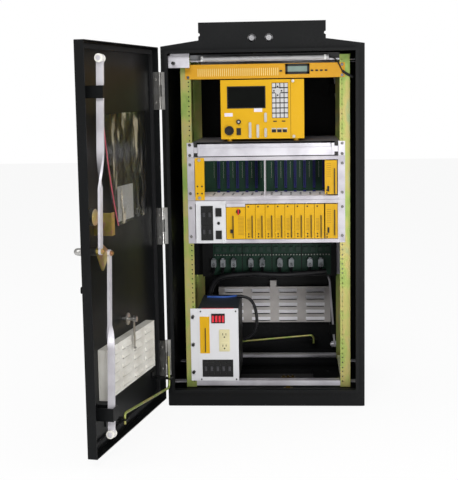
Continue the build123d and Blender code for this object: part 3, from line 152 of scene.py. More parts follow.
def moulded(name, colour, roughness, grain=900.0, shift=0.12):
    """Moulded plastic or rubber: fine grain, and a colour that wanders a little."""
    dark = tuple(c * (1 - shift) for c in colour[:3]) + (1,)
    light = tuple(min(1, c * (1 + shift)) for c in colour[:3]) + (1,)
    return finish(
        name,
        Base_Color=lambda s: s.noise(22).band(0.3, 0.7).blend(dark, light),
        Roughness=lambda s: s.noise(60) * 0.16 + (roughness - 0.08),
        Normal=lambda s: s.noise(grain, 3).bump(0.25, 0.0002),
        Specular_IOR_Level=0.25,
    )


def lead(name, radius, body, material, *routes):
    """Round leads along smooth curves through their routes, whose points are in millimetres."""
    curve = bpy.data.curves.new(name, "CURVE")
    curve.dimensions = "3D"
    curve.bevel_depth = radius / 1000
    curve.bevel_resolution = 5
    curve.use_fill_caps = True
    curve.resolution_u = 10
    curve.materials.append(material)
    for route in routes:
        spline = curve.splines.new("NURBS")
        spline.points.add(len(route) - 1)
        for point, (x, y, z) in zip(spline.points, route):
            point.co = (x / 1000, y / 1000, z / 1000, 1)
        spline.order_u = 3
        spline.use_endpoint_u = True
    bent = bpy.data.objects.new(name, curve)
    bpy.context.scene.collection.objects.link(bent)
    view = bpy.context.evaluated_depsgraph_get()
    mesh = bpy.data.meshes.new_from_object(bent.evaluated_get(view))
    bpy.data.objects.remove(bent)
    made = bpy.data.objects.new(name, mesh)
    bpy.context.scene.collection.objects.link(made)
    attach(made, body)
    return made


front_y = cabinet_front * 1000
rack_front = front_y + 39.5
black_sleeve = moulded("black_sleeve", tint("#1b1b1d"), 0.42, 700)
blue_sleeve = moulded("blue_sleeve", tint("#3b5fae"), 0.4, 700)

tube_end = 199.0
tube_y = rack_front - 15.5
tube_z = 1070.0
lead_reach = 73.0
lamp_route = [
    (tube_end, tube_y, tube_z),
    (tube_end + 0.15 * lead_reach, tube_y, tube_z),
    (tube_end + 0.34 * lead_reach, rack_front - 8, tube_z - 10),
    (tube_end + 0.45 * lead_reach, rack_front - 7, tube_z - 26),
    (tube_end + 0.56 * lead_reach, rack_front - 7, tube_z - 42),
]
sleeve_route = [
    lamp_route[-1],
    (tube_end + 0.78 * lead_reach, rack_front - 7.5, tube_z - 53),
    (tube_end + lead_reach, rack_front - 3, tube_z - 61),
]
lamp_lead = lead("lamp_wire", 1.8, "cabinet", black_sleeve, lamp_route)
lamp_sleeve = lead("lamp_wire_sleeve", 4.0, "cabinet", black_sleeve, sleeve_route)
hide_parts("lamp_lead")

field_y = front_y + 330.0
trunk_y = field_y - 44.0
trunk_z = 368.0
trunk_route = [
    (196, trunk_y - 2, trunk_z + 9),
    (150, trunk_y, trunk_z + 3),
    (104, trunk_y + 4, trunk_z),
    (58, trunk_y + 1, trunk_z - 3),
    (12, trunk_y - 3, trunk_z - 1),
    (-34, trunk_y, trunk_z + 2),
    (-80, trunk_y + 4, trunk_z - 1),
    (-126, trunk_y, trunk_z - 4),
    (-168, trunk_y + 6, trunk_z - 14),
    (-192, trunk_y + 10, trunk_z - 50),
    (-199, trunk_y + 14, trunk_z - 98),
]
plug_places = (-180.0, -149.0, -113.0, -55.0, -17.0, 42.0, 80.0, 142.0, 178.0)
plug_foot = 388.0
plug_y = field_y - 11.0
harness = lead("harness_trunk", 9.0, "cabinet", black_sleeve, trunk_route)
plug_routes = [
    [(x, plug_y, plug_foot - 1), (x, plug_y - 4, plug_foot - 9), (x - 3, trunk_y + 9, trunk_z)]
    for x in plug_places
]
drops = lead("harness_drops", 5.0, "cabinet", black_sleeve, *plug_routes)
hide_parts("field_harness")

power_top = 301.5
black_height = power_top + 5.05
blue_height = power_top + 3.25
black_route = [
    (-98, rack_front + 176, black_height),
    (-66, rack_front + 176, black_height),
    (-44, rack_front + 172, power_top - 16),
    (-34, rack_front + 164, power_top - 50),
    (-33, rack_front + 160, power_top - 92),
    (-48, rack_front + 164, power_top - 126),
    (-78, rack_front + 172, power_top - 138),
]
blue_route = [
    (-196, rack_front + 180, blue_height),
    (-160, rack_front + 172, blue_height),
    (-122, rack_front + 176, blue_height),
    (-98, rack_front + 196, blue_height),
]
power_lead = lead("power_lead", 5.0, "cabinet", black_sleeve, black_route)
bonding_lead = lead("bonding_lead", 3.2, "cabinet", blue_sleeve, blue_route)
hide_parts("power_leads")


# The body and both doors: welded aluminium sheet under a black baked powder coat, which has a fine
# orange-peel skin, a little dust on it and a slightly uneven gloss. The rod guides are welded to the
# doors and coated with them.
def powder_coat(name, colour, dust, roughness, sheen=0.4):
    """Baked or sprayed enamel with some dust on it."""
    pale = tuple(c + dust for c in colour[:3]) + (1,)

    def dusty(s):
        return s.noise(5, 4).band(0.42, 0.75) * s.noise(160, 2).band(0.35, 0.7)

    return finish(
        name,
        Base_Color=lambda s: dusty(s).blend(colour, pale),
        Roughness=lambda s: s.noise(9, 3) * 0.14 + (roughness - 0.07),
        Normal=lambda s: s.noise(420, 2).bump(0.22, 0.0004),
        Specular_IOR_Level=sheen,
    )


def dress(material, *nodes):
    """Gives carried-over pieces their finish."""
    for node in nodes:
        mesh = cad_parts[node].data
        mesh.materials.clear()
        mesh.materials.append(material)


def dress_where(material, node, inside):
    """Gives a finish to the faces of a carried-over piece whose centres pass a test, in millimetres."""
    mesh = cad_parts[node].data
    mesh.materials.append(material)
    for face in mesh.polygons:
        if inside(*(face.center * 1000)):
            face.material_index = len(mesh.materials) - 1


black_coat = powder_coat("black_powder_coat", tint("#0e0f10"), 0.004, 0.4, 0.13)
dress(black_coat, "left_wall", "right_wall", "roof", "front_frame", "rear_frame", "front_door", "rear_door")
dress(black_coat, "base_pan", "rod_guides")


# Bare aluminium: cage angles, card racks and drawer tray, left as rolled, so that the metal keeps a
# directional grain and a soft cloudy film. The louvred filter boxes on the doors are pressed from such
# sheet, and the front door's is primed grey.
def rolled_metal(name, colour, film, roughness, grain=(1, 1, 1), metallic=1.0, scale=700):
    """Metal with a film that comes and goes, and a grain that is drawn out along one direction."""
    return finish(
        name,
        Base_Color=lambda s: s.noise(14, 4).band(0.35, 0.7).blend(colour, film),
        Metallic=metallic,
        Roughness=lambda s: s.noise(scale, 3, grain) * 0.2 + (roughness - 0.1),
        Normal=lambda s: s.noise(scale, 2, grain).bump(0.12, 0.0001),
    )


rack_centre = 6.3
deck_front = front_y + 49
along_x = (0.03, 1, 1)
aluminium = rolled_metal("rolled_aluminium", tint("#b9b6bb"), tint("#a09ca3"), 0.42, along_x, 0.6)
# The racks' decks are the same aluminium, made near-white and not metallic: painted light from the flash.
deck_painted_bright = rolled_metal("deck_painted_bright", tint("#f7f5f7"), tint("#e3e0e4"), 0.5, along_x, 0.0)
bright_sheet = rolled_metal("bright_sheet", tint("#d4d2d8"), tint("#bcb9c0"), 0.36, along_x, 0.6)
dress(aluminium, "upper_rack", "lower_rack")
dress(bright_sheet, "cage_braces", "drawer_tray", "switch_bracket")
for rack in ("upper_rack", "lower_rack"):
    dress_where(deck_painted_bright, rack, lambda x, y, z: y > deck_front and abs(x - rack_centre) < 216)

lip_gap = 4.5
door_flange = 25.8
door_sheet = 2.5
skin_y = front_y - lip_gap - door_flange + door_sheet
filter_face = skin_y + 25.5
louvre_plate = rolled_metal("louvre_plate", tint("#c4bfbc"), tint("#aca7a4"), 0.45, along_x, 0.2)
louvre_hood = rolled_metal("louvre_hood", tint("#fbf9fd"), tint("#eae7ee"), 0.4, along_x, 0.0)
grey_primer = rolled_metal("grey_primed_louvre", tint("#d8d6cf"), tint("#c6c3bb"), 0.5, along_x, 0.1)
dress(grey_primer, "filter_housing")
dress(louvre_plate, "rear_filter_housing")
dress_where(louvre_hood, "rear_filter_housing", lambda x, y, z: y < -filter_face - 0.3)

# Roof bolts and rack screws: zinc-plated steel. The carriage bolts through the gable are bright with domed
# heads. The pan heads of the screws that hold the panels to the rails are bright too, but painted darker:
# painted shade for the shadow round them.
bright_zinc = rolled_metal("bright_zinc", tint("#c4c4c6"), tint("#98979a"), 0.3, scale=400)
screw_zinc_painted_shade = rolled_metal("zinc_screw_painted_shade", tint("#8b8a88"), tint("#63615f"), 0.25, scale=400)
dress(bright_zinc, "roof_bolts")
dress(screw_zinc_painted_shade, "rack_screws")


# Rack rails and stay rods: folded or bent steel in a yellow chromate over zinc, which shifts between
# green and straw from place to place. The rear rails also carry the black plate behind the field boards
# and, at its right end, a bare bracket.
def chromate_colour(s):
    stops = [(0.3, tint("#7a934a")), (0.47, tint("#949f56")), (0.6, tint("#a89c60")), (0.75, tint("#839a70"))]
    return s.node("ShaderNodeValToRGB", {"stops": stops}, {"Fac": s.noise(26, 4, (1, 1, 0.5))})


chromate = finish(
    "green_chromate",
    Base_Color=chromate_colour,
    Metallic=0.7,
    Roughness=lambda s: s.noise(90, 3) * 0.2 + 0.28,
    Normal=lambda s: s.noise(500, 2).bump(0.1, 0.0001),
)
plate_back = front_y + 372.5
plate_end = 214


def on_plate(y, z):
    """Whether a point of the rear rails lies at the plate's height and in front of the rails."""
    return 352 < z < 470 and y < plate_back


dress(chromate, "front_rails", "stay_rod", "rear_stay_rod")
dress(chromate, "rear_rails")
dress_where(black_coat, "rear_rails", lambda x, y, z: on_plate(y, z) and x < plate_end)
dress_where(aluminium, "rear_rails", lambda x, y, z: on_plate(y, z) and x > plate_end)


# Latch gear and hinges: stainless and zinc-plated steel. The cam plate, its nuts and the lock's bracket
# are in a golden chromate with rosy patches, and the filter's clip is stainless as the hinges are.
def golden_colour(s):
    stops = [(0.3, tint("#9a8a4a")), (0.48, tint("#b7a45a")), (0.6, tint("#b78a72")), (0.75, tint("#94a06c"))]
    return s.node("ShaderNodeValToRGB", {"stops": stops}, {"Fac": s.noise(38, 4)})


along_z = (1, 1, 0.03)
along_rod = (1, 1, 0.05)
stainless = rolled_metal("brushed_stainless", tint("#c2c1bf"), tint("#a5a39f"), 0.3, along_z, scale=900)
rod_metal = rolled_metal("grey_zinc_rod", tint("#cfccd2"), tint("#b4b1b7"), 0.4, along_rod, 0.3, 600)
golden_zinc = finish(
    "golden_chromate",
    Base_Color=golden_colour,
    Metallic=0.9,
    Roughness=lambda s: s.noise(80, 3) * 0.2 + 0.24,
)
dress(stainless, "frame_hinges", "door_hinges", "front_handle", "rear_handle", "filter_clip")
dress(rod_metal, "upper_rod", "lower_rod", "rear_upper_rod", "rear_lower_rod")
dress(golden_zinc, "lock_bracket")

hinge_pin = Vector((-309.0, front_y - 5.0, 0))
door_swing = Matrix.Rotation(radians(101.0), 4, "Z")
close_door = Matrix.Translation(hinge_pin) @ door_swing @ Matrix.Translation(-hinge_pin)
behind_front = 1.0


def closed_y(x, y, z):
    """How far back a point of the opened front door lies once the door is closed."""
    return (close_door @ Vector((x, y, z))).y


dress_where(golden_zinc, "front_handle", lambda x, y, z: closed_y(x, y, z) > front_y + behind_front)
dress_where(stainless, "lock_bracket", lambda x, y, z: closed_y(x, y, z) < skin_y + 16)
dress_where(golden_zinc, "rear_handle", lambda x, y, z: y < -front_y - behind_front)

# Rollers at the ends of the latch rods, moulded in white nylon, and the gasket, a strip of black sponge
# rubber that is glued round the inside of the door.
white_nylon = moulded("white_nylon", tint("#dedcd5"), 0.45, 600, 0.06)
dress(white_nylon, "upper_rollers", "lower_rollers")
gasket_rubber = moulded("gasket_rubber", tint("#141416"), 0.8, 1400)
dress(gasket_rubber, "door_gasket")

# Inspection lamp: an enamelled channel that is grey in front and dark on its back, screwed under the
# cage's top, with a frosted tube in it.
channel_back = 1073
grey_tin = powder_coat("grey_tin", tint("#8f8f92"), 0.03, 0.4)
dark_tin = powder_coat("dark_tin", tint("#1d1d1f"), 0.01, 0.5)
dress(grey_tin, "lamp_housing")
dress_where(dark_tin, "lamp_housing", lambda x, y, z: z > channel_back)
frosted = finish(
    "frosted_tube",
    Base_Color=lambda s: s.noise(40).blend(tint("#b9b9ba"), tint("#a4a4a5")),
    Roughness=0.18,
    Coat_Weight=0.5,
    Coat_Roughness=0.05,
)
dress(frosted, "lamp_tube")


# What repeats on the panels, such as pins, lamps, labels and terminals: small blocks or studs on a grid,
# laid out by a node tree and then made a plain mesh.
def block_grid_tree(name, round_stud):
    """A node tree that lays out square blocks or round studs in columns and rows."""
    tree = bpy.data.node_groups.new(name, "GeometryNodeTree")
    for title, kind in (
        ("Columns", "NodeSocketInt"),
        ("Rows", "NodeSocketInt"),
        ("Column Pitch", "NodeSocketVector"),
        ("Row Pitch", "NodeSocketVector"),
        ("Block Size", "NodeSocketVector"),
        ("Finish", "NodeSocketMaterial"),
    ):
        tree.interface.new_socket(title, in_out="INPUT", socket_type=kind)
    tree.interface.new_socket("Geometry", in_out="OUTPUT", socket_type="NodeSocketGeometry")
    given = tree.nodes.new("NodeGroupInput")
    result = tree.nodes.new("NodeGroupOutput")
    columns = tree.nodes.new("GeometryNodeMeshLine")
    rows = tree.nodes.new("GeometryNodeMeshLine")
    spread = tree.nodes.new("GeometryNodeInstanceOnPoints")
    points = tree.nodes.new("GeometryNodeRealizeInstances")
    place = tree.nodes.new("GeometryNodeInstanceOnPoints")
    size = tree.nodes.new("GeometryNodeTransform")
    solid = tree.nodes.new("GeometryNodeRealizeInstances")
    paint = tree.nodes.new("GeometryNodeSetMaterial")
    if round_stud:
        block = tree.nodes.new("GeometryNodeMeshCylinder")
        block.inputs["Vertices"].default_value = 16
        block.inputs["Radius"].default_value = 0.5
        block.inputs["Depth"].default_value = 1.0
        turn = tree.nodes.new("GeometryNodeTransform")
        turn.inputs["Rotation"].default_value = (pi / 2, 0, 0)
        tree.links.new(block.outputs["Mesh"], turn.inputs["Geometry"])
        block = turn
    else:
        block = tree.nodes.new("GeometryNodeMeshCube")
    for line, count, pitch in ((columns, "Columns", "Column Pitch"), (rows, "Rows", "Row Pitch")):
        line.mode = "OFFSET"
        tree.links.new(given.outputs[count], line.inputs["Count"])
        tree.links.new(given.outputs[pitch], line.inputs["Offset"])
    for start, end in (
        (columns.outputs[0], spread.inputs["Points"]),
        (rows.outputs[0], spread.inputs["Instance"]),
        (spread.outputs[0], points.inputs[0]),
        (points.outputs[0], place.inputs["Points"]),
        (block.outputs[0], size.inputs["Geometry"]),
        (given.outputs["Block Size"], size.inputs["Scale"]),
        (size.outputs[0], place.inputs["Instance"]),
        (place.outputs[0], solid.inputs[0]),
        (solid.outputs[0], paint.inputs["Geometry"]),
        (given.outputs["Finish"], paint.inputs["Material"]),
        (paint.outputs[0], result.inputs[0]),
    ):
        tree.links.new(start, end)
    return tree


blocks = block_grid_tree("square_blocks", False)
studs = block_grid_tree("round_studs", True)


def grid(name, tree, start, size, material, count=(1, 1), pitch=(0, 0), body="cabinet"):
    """So many columns and rows of blocks, the first centred on start; sizes are in millimetres."""
    holder = bpy.data.objects.new(name, bpy.data.meshes.new(name))
    bpy.context.scene.collection.objects.link(holder)
    modifier = holder.modifiers.new("blocks", "NODES")
    modifier.node_group = tree
    values = {
        "Columns": count[0],
        "Rows": count[1],
        "Column Pitch": (pitch[0] / 1000, 0, 0),
        "Row Pitch": (0, 0, pitch[1] / 1000),
        "Block Size": tuple(side / 1000 for side in size),
        "Finish": material,
    }
    for item in tree.interface.items_tree:
        if item.in_out == "INPUT":
            modifier[item.identifier] = values[item.name]
    view = bpy.context.evaluated_depsgraph_get()
    mesh = bpy.data.meshes.new_from_object(holder.evaluated_get(view))
    holder.modifiers.remove(modifier)
    holder.data = mesh
    mesh.name = name
    mesh.transform(Matrix.Translation(Vector(start) / 1000))
    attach(holder, body)


# Door switch, module pulls and the clips over the lamp's tube: black mouldings, pressed or snapped onto
# what carries them. The clamps round the ends of the tube are white.
black_plastic = moulded("black_plastic", tint("#1a1918"), 0.46)
dress(black_plastic, "door_switch", "module_pulls")
clamp_white = moulded("white_clamp", tint("#d8d8d6"), 0.45, 600, 0.04)
grid("tube_clamps", blocks, (-182, tube_y, tube_z), (6, 14.5, 14.5), clamp_white, (2, 1), (370, 0))
grid("tube_clips", blocks, (-73, tube_y, tube_z + 6.4), (14, 12, 3), black_plastic, (2, 1), (157, 0))

# Display panel: a low front of folded sheet in an amber enamel, screwed to the rails, with a framed
# window, pale indicator slots and black buttons. The controller's dark screen is dressed with it.
panel_front = rack_front - 2.5
amber = powder_coat("amber_enamel", tint("#c8921a"), 0.01, 0.4, 0.2)
cream = moulded("cream_label", tint("#d9c583"), 0.6, 600, 0.04)


def in_slots(x, y, z):
    """Whether a point lies at the bottom of the indicator slots."""
    return x < 50 and 1017 < z < 1042 and panel_front + 0.4 < y < panel_front + 0.9


dress(amber, "display_panel")
dress_where(cream, "display_panel", in_slots)
window = finish(
    "display_window",
    Base_Color=lambda s: s.noise(30).blend(tint("#0a0b0a"), tint("#121412")),
    Roughness=0.25,
    Specular_IOR_Level=0.05,
)
reading_window = finish(
    "reading_window",
    Base_Color=lambda s: s.noise(50).blend(tint("#74867f"), tint("#82948c")),
    Roughness=0.4,
    Specular_IOR_Level=0.1,
)
dress(window, "display_windows")
dress_where(reading_window, "display_windows", lambda x, y, z: z > 1015)
frame_y = panel_front - 1
grid("window_frame_rails", blocks, (105, frame_y, 1024.5), (73, 2, 7), black_plastic, (1, 2), (0, 24))
grid("window_frame_sides", blocks, (72, frame_y, 1036.5), (7, 2, 31), black_plastic, (2, 1), (66, 0))

# Controller: a case of folded sheet in yellow enamel, which stands on the drawer. The keypad has white
# rubber keys on a black pad, the long sockets are zinc shells, and the round socket, the switch and the
# network sockets are black.
yellow = powder_coat("yellow_enamel", tint("#d0a009"), 0.01, 0.38, 0.2)
dark_seam = moulded("dark_seam", tint("#7a5c12"), 0.6)
key_white = moulded("white_key_rubber", tint("#bebdbc"), 0.5, 900, 0.05)
socket_shell = rolled_metal("socket_shell", tint("#c9c6c0"), tint("#aaa69f"), 0.35, metallic=0.8, scale=400)
case_front = panel_front


def in_recess(x, y, z):
    """Whether a point lies at the bottom of the recess for the screen and the keypad."""
    return -108 < x < 78 and z > 885 and case_front + 0.9 < y < case_front + 1.9


dress(yellow, "controller_case")
dress_where(black_plastic, "controller_case", in_recess)
dress(black_plastic, "keys")
dress_where(key_white, "keys", lambda x, y, z: z < 1000 and y < case_front + 0.4)
dress(black_plastic, "controller_sockets")
dress_where(socket_shell, "controller_sockets", lambda x, y, z: -45 < x < 12 and y > case_front - 5.1)
dress_where(socket_shell, "controller_sockets", lambda x, y, z: x > 25)

label_white = moulded("white_label", tint("#d9d4de"), 0.6, 500, 0.03)
grid("left_blank_label", blocks, (-105, case_front - 0.2, 901.5), (25, 0.4, 10.5), label_white)
grid("right_blank_label", blocks, (-15, case_front - 0.2, 915), (25, 0.4, 12), label_white)
grid("case_joint_line", blocks, (83.5, case_front - 0.1, 917), (0.9, 0.3, 176), dark_seam)

disc_x, disc_z = 45, 971.5
mark_y = case_front - 2.6
mark = (5, 2.6, 5)
grid("key_pad_disc", studs, (disc_x, case_front - 2.2, disc_z), (19, 1.4, 19), key_white)
grid("key_pad_marks", studs, (disc_x - 11.5, mark_y, disc_z), mark, black_plastic, (2, 1), (23, 0))
grid("key_pad_marks_up", studs, (disc_x, mark_y, disc_z - 13), mark, black_plastic, (1, 2), (0, 26))
grid("fuse_eye", studs, (-74.5, case_front - 9.8, 880), (6.5, 1, 6.5), socket_shell)
rim_y = case_front - 0.6
grid("screen_rim_rails", blocks, (-50.5, rim_y, 921.5), (116, 1.2, 3), black_plastic, (1, 2), (0, 64))
grid("screen_rim_sides", blocks, (-107.5, rim_y, 953.5), (3, 1.2, 67), black_plastic, (2, 1), (114, 0))
mouth_y = case_front - 0.9
grid("network_mouths", blocks, (32.5, mouth_y, 851), (13, 1.6, 9), black_plastic, (3, 1), (16.5, 0))
slot_y = case_front - 0.4
grid("card_slot_mouths", blocks, (36, slot_y, 880), (11, 0.8, 3.4), black_plastic, (2, 1), (26, 0))

# Drawer frame: folded sheet in black enamel, with bare aluminium ears that are screwed to the rails and
# a bare front edge to its cover.
ear_start = 221
cover_edge = 819.2
dark_enamel = powder_coat("dark_enamel", tint("#1c1b1a"), 0.012, 0.5)
dress(dark_enamel, "drawer_runners")
dress_where(
    bright_sheet, "drawer_runners", lambda x, y, z: abs(x - rack_centre) > ear_start and y < rack_front + 1
)
dress_where(aluminium, "drawer_runners", lambda x, y, z: z > cover_edge)


# Card racks: dark green backplanes with rows of bright pins, and blue guides that stand on the slotted
# decks. The slots of the lower deck show as dark strips.
def board_colour(s):
    tracks = s.node("ShaderNodeTexBrick", {"offset": 0.5}, {"Vector": s.place(), "Scale": 90.0}, 1)
    return (s.noise(70, 3).band(0.45, 0.6) * tracks).blend(tint("#0b3525"), tint("#164a36"))


green_mask = finish("green_solder_mask", Base_Color=board_colour, Roughness=0.45, Specular_IOR_Level=0.2)
guide_blue = moulded("blue_guide_plastic", tint("#161c5c"), 0.5, 600)
bright_pin = rolled_metal("bright_pin", tint("#a9b3a6"), tint("#86958a"), 0.4, metallic=0.4, scale=300)
dress(green_mask, "circuit_boards")
dress(guide_blue, "card_connectors")
rack_top = 773.1
rack_height = 3 * 44.45
backplane_y = rack_front + 165.3
slot_pitch = 30.3
pin_pitch = 3.7
for name, x in (("backplane_pins", -165), ("backplane_pins_right", 19.5)):
    start = (x, backplane_y - 0.6, rack_top - 76)
    grid(name, blocks, start, (1.2, 1.2, 1.6), bright_pin, (6, 14), (slot_pitch, pin_pitch))
for name, x, guides in (("card_guide_feet", -150, 5), ("card_guide_feet_right", 34.6, 6)):
    start = (x, backplane_y - 16, rack_top - 119)
    grid(name, blocks, start, (9, 14, 5), guide_blue, (guides, 1), (slot_pitch, 0))
start = (-160.35, rack_front + 84, rack_top - 122.1)
grid("deck_slot_shadows", blocks, start, (8, 84, 0.4), black_plastic, (12, 1), (slot_pitch, 0))

# Plug-in modules: fronts of yellow enamelled sheet, each with a black pull, two small lamps, a dark
# screw and a field of short tan lines, pushed into the racks side by side.
module_front = panel_front - 2.0
module_pitch = 30.2
lower_top = rack_top - rack_height
module_foot = lower_top - rack_height + 13.5
dress(yellow, "rack_modules")
faded_print = moulded("tan_print", tint("#94701c"), 0.6, 500, 0.03)
lamp_y = module_front - 0.6
print_y = module_front - 0.1
small_lamp = (4.6, 1.4, 4.6)
start = (-48.5, lamp_y, module_foot + 7)
grid("module_lamps", studs, start, small_lamp, black_plastic, (8, 2), (module_pitch, 8.5))
start = (-49, lamp_y, module_foot + 100)
grid("module_screws", studs, start, (4.8, 1.4, 4.8), black_plastic, (8, 1), (module_pitch, 0))
start = (-48.5, print_y, module_foot + 28)
grid("module_print_fields", blocks, start, (9.5, 0.3, 1.2), faded_print, (8, 9), (module_pitch, 4.2))
grid("filler_plate", blocks, (-87.8, module_front + 1, module_foot + 104.5), (58, 1.5, 9), bright_sheet)
start = (-72, print_y, module_foot + 14)
grid("wide_print_lines", blocks, start, (18, 0.3, 1.2), faded_print, (1, 14), (0, 4.2))
for name, z in (("end_print_lines", module_foot + 50), ("end_print_lines_up", rack_top - 62)):
    grid(name, blocks, (198, print_y, z), (13, 0.3, 1.2), faded_print, (1, 7), (0, 6.5))
for name, z in (("end_module_lamps", module_foot + 4.5), ("end_module_lamps_up", rack_top - 113.5)):
    grid(name, studs, (192, lamp_y, z), small_lamp, black_plastic, (1, 2), (0, 9))
red_key = moulded("red_key_plastic", tint("#d0202a"), 0.35, 500)
grid("red_key_bow", blocks, (-79.5, module_front - 6, module_foot + 84.5), (4.2, 5, 18), red_key)
start = (-204, lamp_y, rack_top - 111)
grid("upper_module_lamps", studs, start, (5.2, 1.4, 5.2), black_plastic, (2, 2), (13.5, 22))
start = (-198, module_front - 1.2, rack_top - 124.5)
grid("upper_module_screws", studs, start, (9.5, 2.4, 9.5), bright_zinc, (1, 2), (0, 116))

# Service panel: a white enamelled front with black breakers, two receptacles and a fuse holder. The
# breakers of the power unit, with its red rockers and yellow plate, are bought-in parts of the same
# kind, so they are finished here too.
power_face = panel_front - 0.8
white_enamel = powder_coat("white_enamel", tint("#cfcfd2"), 0.02, 0.4)
breaker_black = moulded("breaker_black", tint("#171717"), 0.35)
# The toggles are mid grey, not black: a painted highlight for the light along their faces.
toggle_grey_painted_highlight = moulded("toggle_grey_painted_highlight", tint("#39393c"), 0.35)
red_rocker = moulded("red_rocker", tint("#d22b3a"), 0.3, 500)


def on_yellow_plate(x, y, z):
    """Whether a point lies on the yellow plate beside the power unit's outlet."""
    return -207 < x < -175 and 158 < z < 277 and y > power_face - 1.3


dress(white_enamel, "service_panel")
dress(breaker_black, "circuit_breakers")
dress_where(yellow, "circuit_breakers", on_yellow_plate)
start = (-163.8, power_face - 4.6, 269.5)
grid("red_rockers", blocks, start, (6.6, 4, 20), red_rocker, (4, 1), (10.5, 0))
grid("red_top_edge", blocks, (-150, power_face + 0.6, 302.2), (100, 2.4, 1.4), red_rocker)
start = (-185.8, module_front - 7, lower_top - 96)
grid("breaker_toggles", blocks, start, (7, 5, 13), toggle_grey_painted_highlight, (2, 2), (18, 53))
start = (-188.5, power_face - 6, 111)
grid("power_toggles", blocks, start, (7, 5, 14), toggle_grey_painted_highlight, (5, 1), (18.6, 0))

# Field boards: green boards screwed to the plate on the rear rails, with relays, terminals and a row of
# die-cast plug shells. A black sleeve closes the mouth of each plug.
plug_shell = rolled_metal("plug_shell", tint("#7d8184"), tint("#4d5153"), 0.42, metallic=0.7, scale=300)
dress(plug_shell, "field_plugs")
for number, x in enumerate(plug_places):
    grid(f"plug_sleeve_{number}", studs, (x, field_y - 12, 395), (11, 20, 16), breaker_black)
relay_green = moulded("relay_green", tint("#1f382e"), 0.5)
terminal_count = 40
terminal_pitch = 9.8
grid("board_relays", blocks, (-168, field_y - 4, 446), (13, 8, 16), relay_green, (16, 1), (24.6, 0))
for name, tree, y, size, material in (
    ("board_terminals", blocks, field_y - 3, (6.5, 6, 6), breaker_black),
    ("board_terminal_screws", studs, field_y - 6.3, (3.4, 1, 3.4), bright_pin),
):
    grid(name, tree, (-176, y, 427), size, material, (terminal_count, 1), (terminal_pitch, 0))

# Power unit: a black enamelled case with a sloped grey top, and a white front with an ivory duplex outlet.
# It stands on the cage's floor and its front is held by screws.
case_top = 300
slate = powder_coat("slate_enamel", tint("#33363a"), 0.02, 0.45)
dress(dark_enamel, "power_case")
dress_where(slate, "power_case", lambda x, y, z: z > case_top)
dress(white_enamel, "power_panel")
ivory = moulded("ivory_plastic", tint("#cfc79e"), 0.4, 500, 0.05)
dress(ivory, "duplex_outlet")
outlet_y = power_face - 1.8
outlet_pitch = 36
start = (-134.3, outlet_y, 184)
grid("outlet_slots", blocks, start, (2.4, 0.6, 7.5), black_plastic, (2, 2), (10, outlet_pitch))
start = (-129.3, outlet_y, 175)
grid("outlet_earth_holes", studs, start, (5, 0.6, 5), black_plastic, (1, 2), (0, outlet_pitch))
start = (-228, power_face - 2.5, 98)
grid("power_ear_screws", studs, start, (9, 6, 9), black_plastic, (1, 3), (0, 88))
start = (-203, power_face - 0.8, 75.5)
grid("power_panel_screws", studs, start, (5, 1.6, 5), black_plastic, (2, 2), (110, 217))

# Clip of the rear filter: a tongue bent from the filter's sheet, which reaches from the door's skin over
# the housing and rides on the rear door.
for name, start, size in (
    ("rear_clip_tongue", (14, -filter_face - 1.2, 279), (22, 1.8, 54)),
    ("rear_clip_foot", (14, -filter_face + 11.5, 305), (22, 25.5, 2)),
):
    grid(name, blocks, start, size, louvre_plate, body="rear_door")

# Ground lug: a cast block of bare brass on the floor of the cabinet, slightly tarnished, to which the
# earth conductors are clamped.
brass = rolled_metal("bare_brass", tint("#7d6a35"), tint("#52431f"), 0.36, metallic=0.9, scale=300)
dress(brass, "ground_lug")


# Document pouch: clear soft vinyl on the inside of the front door, creased, with pale streaks of painted
# reflection in its colour and opacity, and with a sheet of paper and the red edge of a binding in it.
def painted_reflection_streaks(s):
    return s.noise(7, 3, (1.6, 1.6, 0.7)).band(0.5, 0.56) * s.noise(23, 2, (1, 1, 0.5)).band(0.45, 0.6)


# The pale streaks, more opaque than the rest, are painted reflections on the vinyl.
vinyl = finish(
    "clear_vinyl",
    Base_Color=lambda s: painted_reflection_streaks(s).blend(tint("#1b1c1c"), tint("#a9a08c")),
    Roughness=lambda s: s.noise(30, 3) * 0.2 + 0.06,
    Normal=lambda s: s.noise(16, 3, (1.5, 1.5, 0.6)).bump(0.8, 0.012),
    Alpha=lambda s: painted_reflection_streaks(s) * 0.4 + 0.32,
    Specular_IOR_Level=0.8,
)
dress(vinyl, "document_pouch")
paper = finish(
    "plain_paper",
    Base_Color=lambda s: s.noise(300, 3).blend(tint("#e6e5df"), tint("#f4f3ef")),
    Roughness=0.85,
    Normal=lambda s: s.noise(14, 2).bump(0.3, 0.002),
)
dress(paper, "document_sheets")
binding = moulded("red_binding", tint("#a34a56"), 0.4, 500)
open_door = close_door.inverted()
edge_closed = [(190, skin_y + 29, 916), (118, skin_y + 15, 742), (42, skin_y + 9, 612)]
edge_route = [open_door @ Vector(point) for point in edge_closed]
lead("pouch_binding", 1.7, "front_door", binding, edge_route)


# A plain pale floor, which is nearly white to the camera. Inside the cabinet's footprint it is nearly black
# and has no glow: a painted shadow under the cabinet. Soft lights stand in front, at both sides and above.
def outside_painted_shadow(s):
    """1 on the floor round the cabinet and 0 within its footprint, where a shadow is painted."""
    across, deep = (s.node("ShaderNodeSeparateXYZ", (), {"Vector": s.place()}, axis) for axis in (0, 1))
    beside = across.maths("GREATER_THAN", across.maths("ABSOLUTE", across), 0.295)
    before = deep.maths("GREATER_THAN", deep.maths("ABSOLUTE", deep), 0.25)
    return beside.maths("MAXIMUM", beside, before)


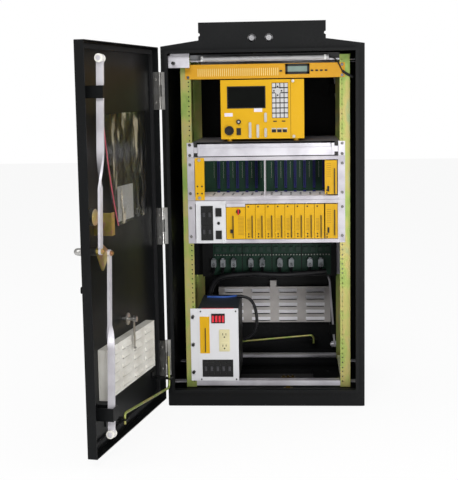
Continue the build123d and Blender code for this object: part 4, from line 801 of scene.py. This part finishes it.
black = (0, 0, 0, 1)
white = (1, 1, 1, 1)
floor_half = 12.0
corners = [(x * floor_half, y * floor_half, 0) for x, y in ((-1, -1), (1, -1), (1, 1), (-1, 1))]
floor_mesh = bpy.data.meshes.new("floor")
floor_mesh.from_pydata(corners, [], [(0, 1, 2, 3)])
floor = bpy.data.objects.new("floor", floor_mesh)
bpy.context.scene.collection.objects.link(floor)
# Nearly black within the footprint: a painted shadow under the cabinet.
floor_paint = finish(
    "floor_paint",
    Base_Color=lambda s: (outside_painted_shadow(s) * 0.88 + 0.02).blend(black, white),
    Roughness=0.9,
)
ground = Shade(floor_paint.node_tree)
painted = Shade(ground.tree, ground.tree.nodes["Principled BSDF"].outputs[0])
glow = ground.node("ShaderNodeEmission", (), {"Color": white, "Strength": 1.0})
seen_floor = ground.node("ShaderNodeLightPath", output="Is Camera Ray")
share = seen_floor * outside_painted_shadow(ground) * 0.9
mixed = ground.node("ShaderNodeMixShader", (), {0: share, 1: painted, 2: glow})
ground.tree.links.new(mixed.socket, ground.tree.nodes["Material Output"].inputs["Surface"])
floor_mesh.materials.append(floor_paint)

world = bpy.data.worlds.new("studio")
bpy.context.scene.world = world
world.use_nodes = True
world.node_tree.nodes.clear()
air = Shade(world.node_tree)
seen = air.node("ShaderNodeLightPath", output="Is Camera Ray")
sky = air.node("ShaderNodeBackground", (), {"Color": white, "Strength": seen * 0.55 + 0.45})
air.node("ShaderNodeOutputWorld", (), {"Surface": sky})


def soft_light(name, place, aim, width, height, power):
    """A rectangular lamp of so many metres and watts, turned towards a point."""
    lamp = bpy.data.lights.new(name, "AREA")
    lamp.shape = "RECTANGLE"
    lamp.size = width
    lamp.size_y = height
    lamp.energy = power
    made = bpy.data.objects.new(name, lamp)
    made.location = place
    made.rotation_euler = (Vector(aim) - Vector(place)).to_track_quat("-Z", "Y").to_euler()
    bpy.context.scene.collection.objects.link(made)


soft_light("front_light", (-0.3, -3.9, 2.9), (0, 0, 0.5), 2.0, 1.0, 84)
soft_light("low_light", (1.15, -3.2, 0.45), (0, 0, 0.4), 0.8, 0.7, 30)
soft_light("left_light", (-3.2, -1.6, 2.0), (0, 0, 0.6), 2.0, 2.4, 34)
soft_light("right_light", (3.0, -1.2, 1.6), (0, 0, 0.6), 1.8, 2.4, 26)
soft_light("top_light", (0, 0.4, 4.0), (0, 0, 0), 3.0, 3.0, 30)
bpy.context.scene.view_settings.view_transform = "Standard"

bpy.context.view_layer.update()
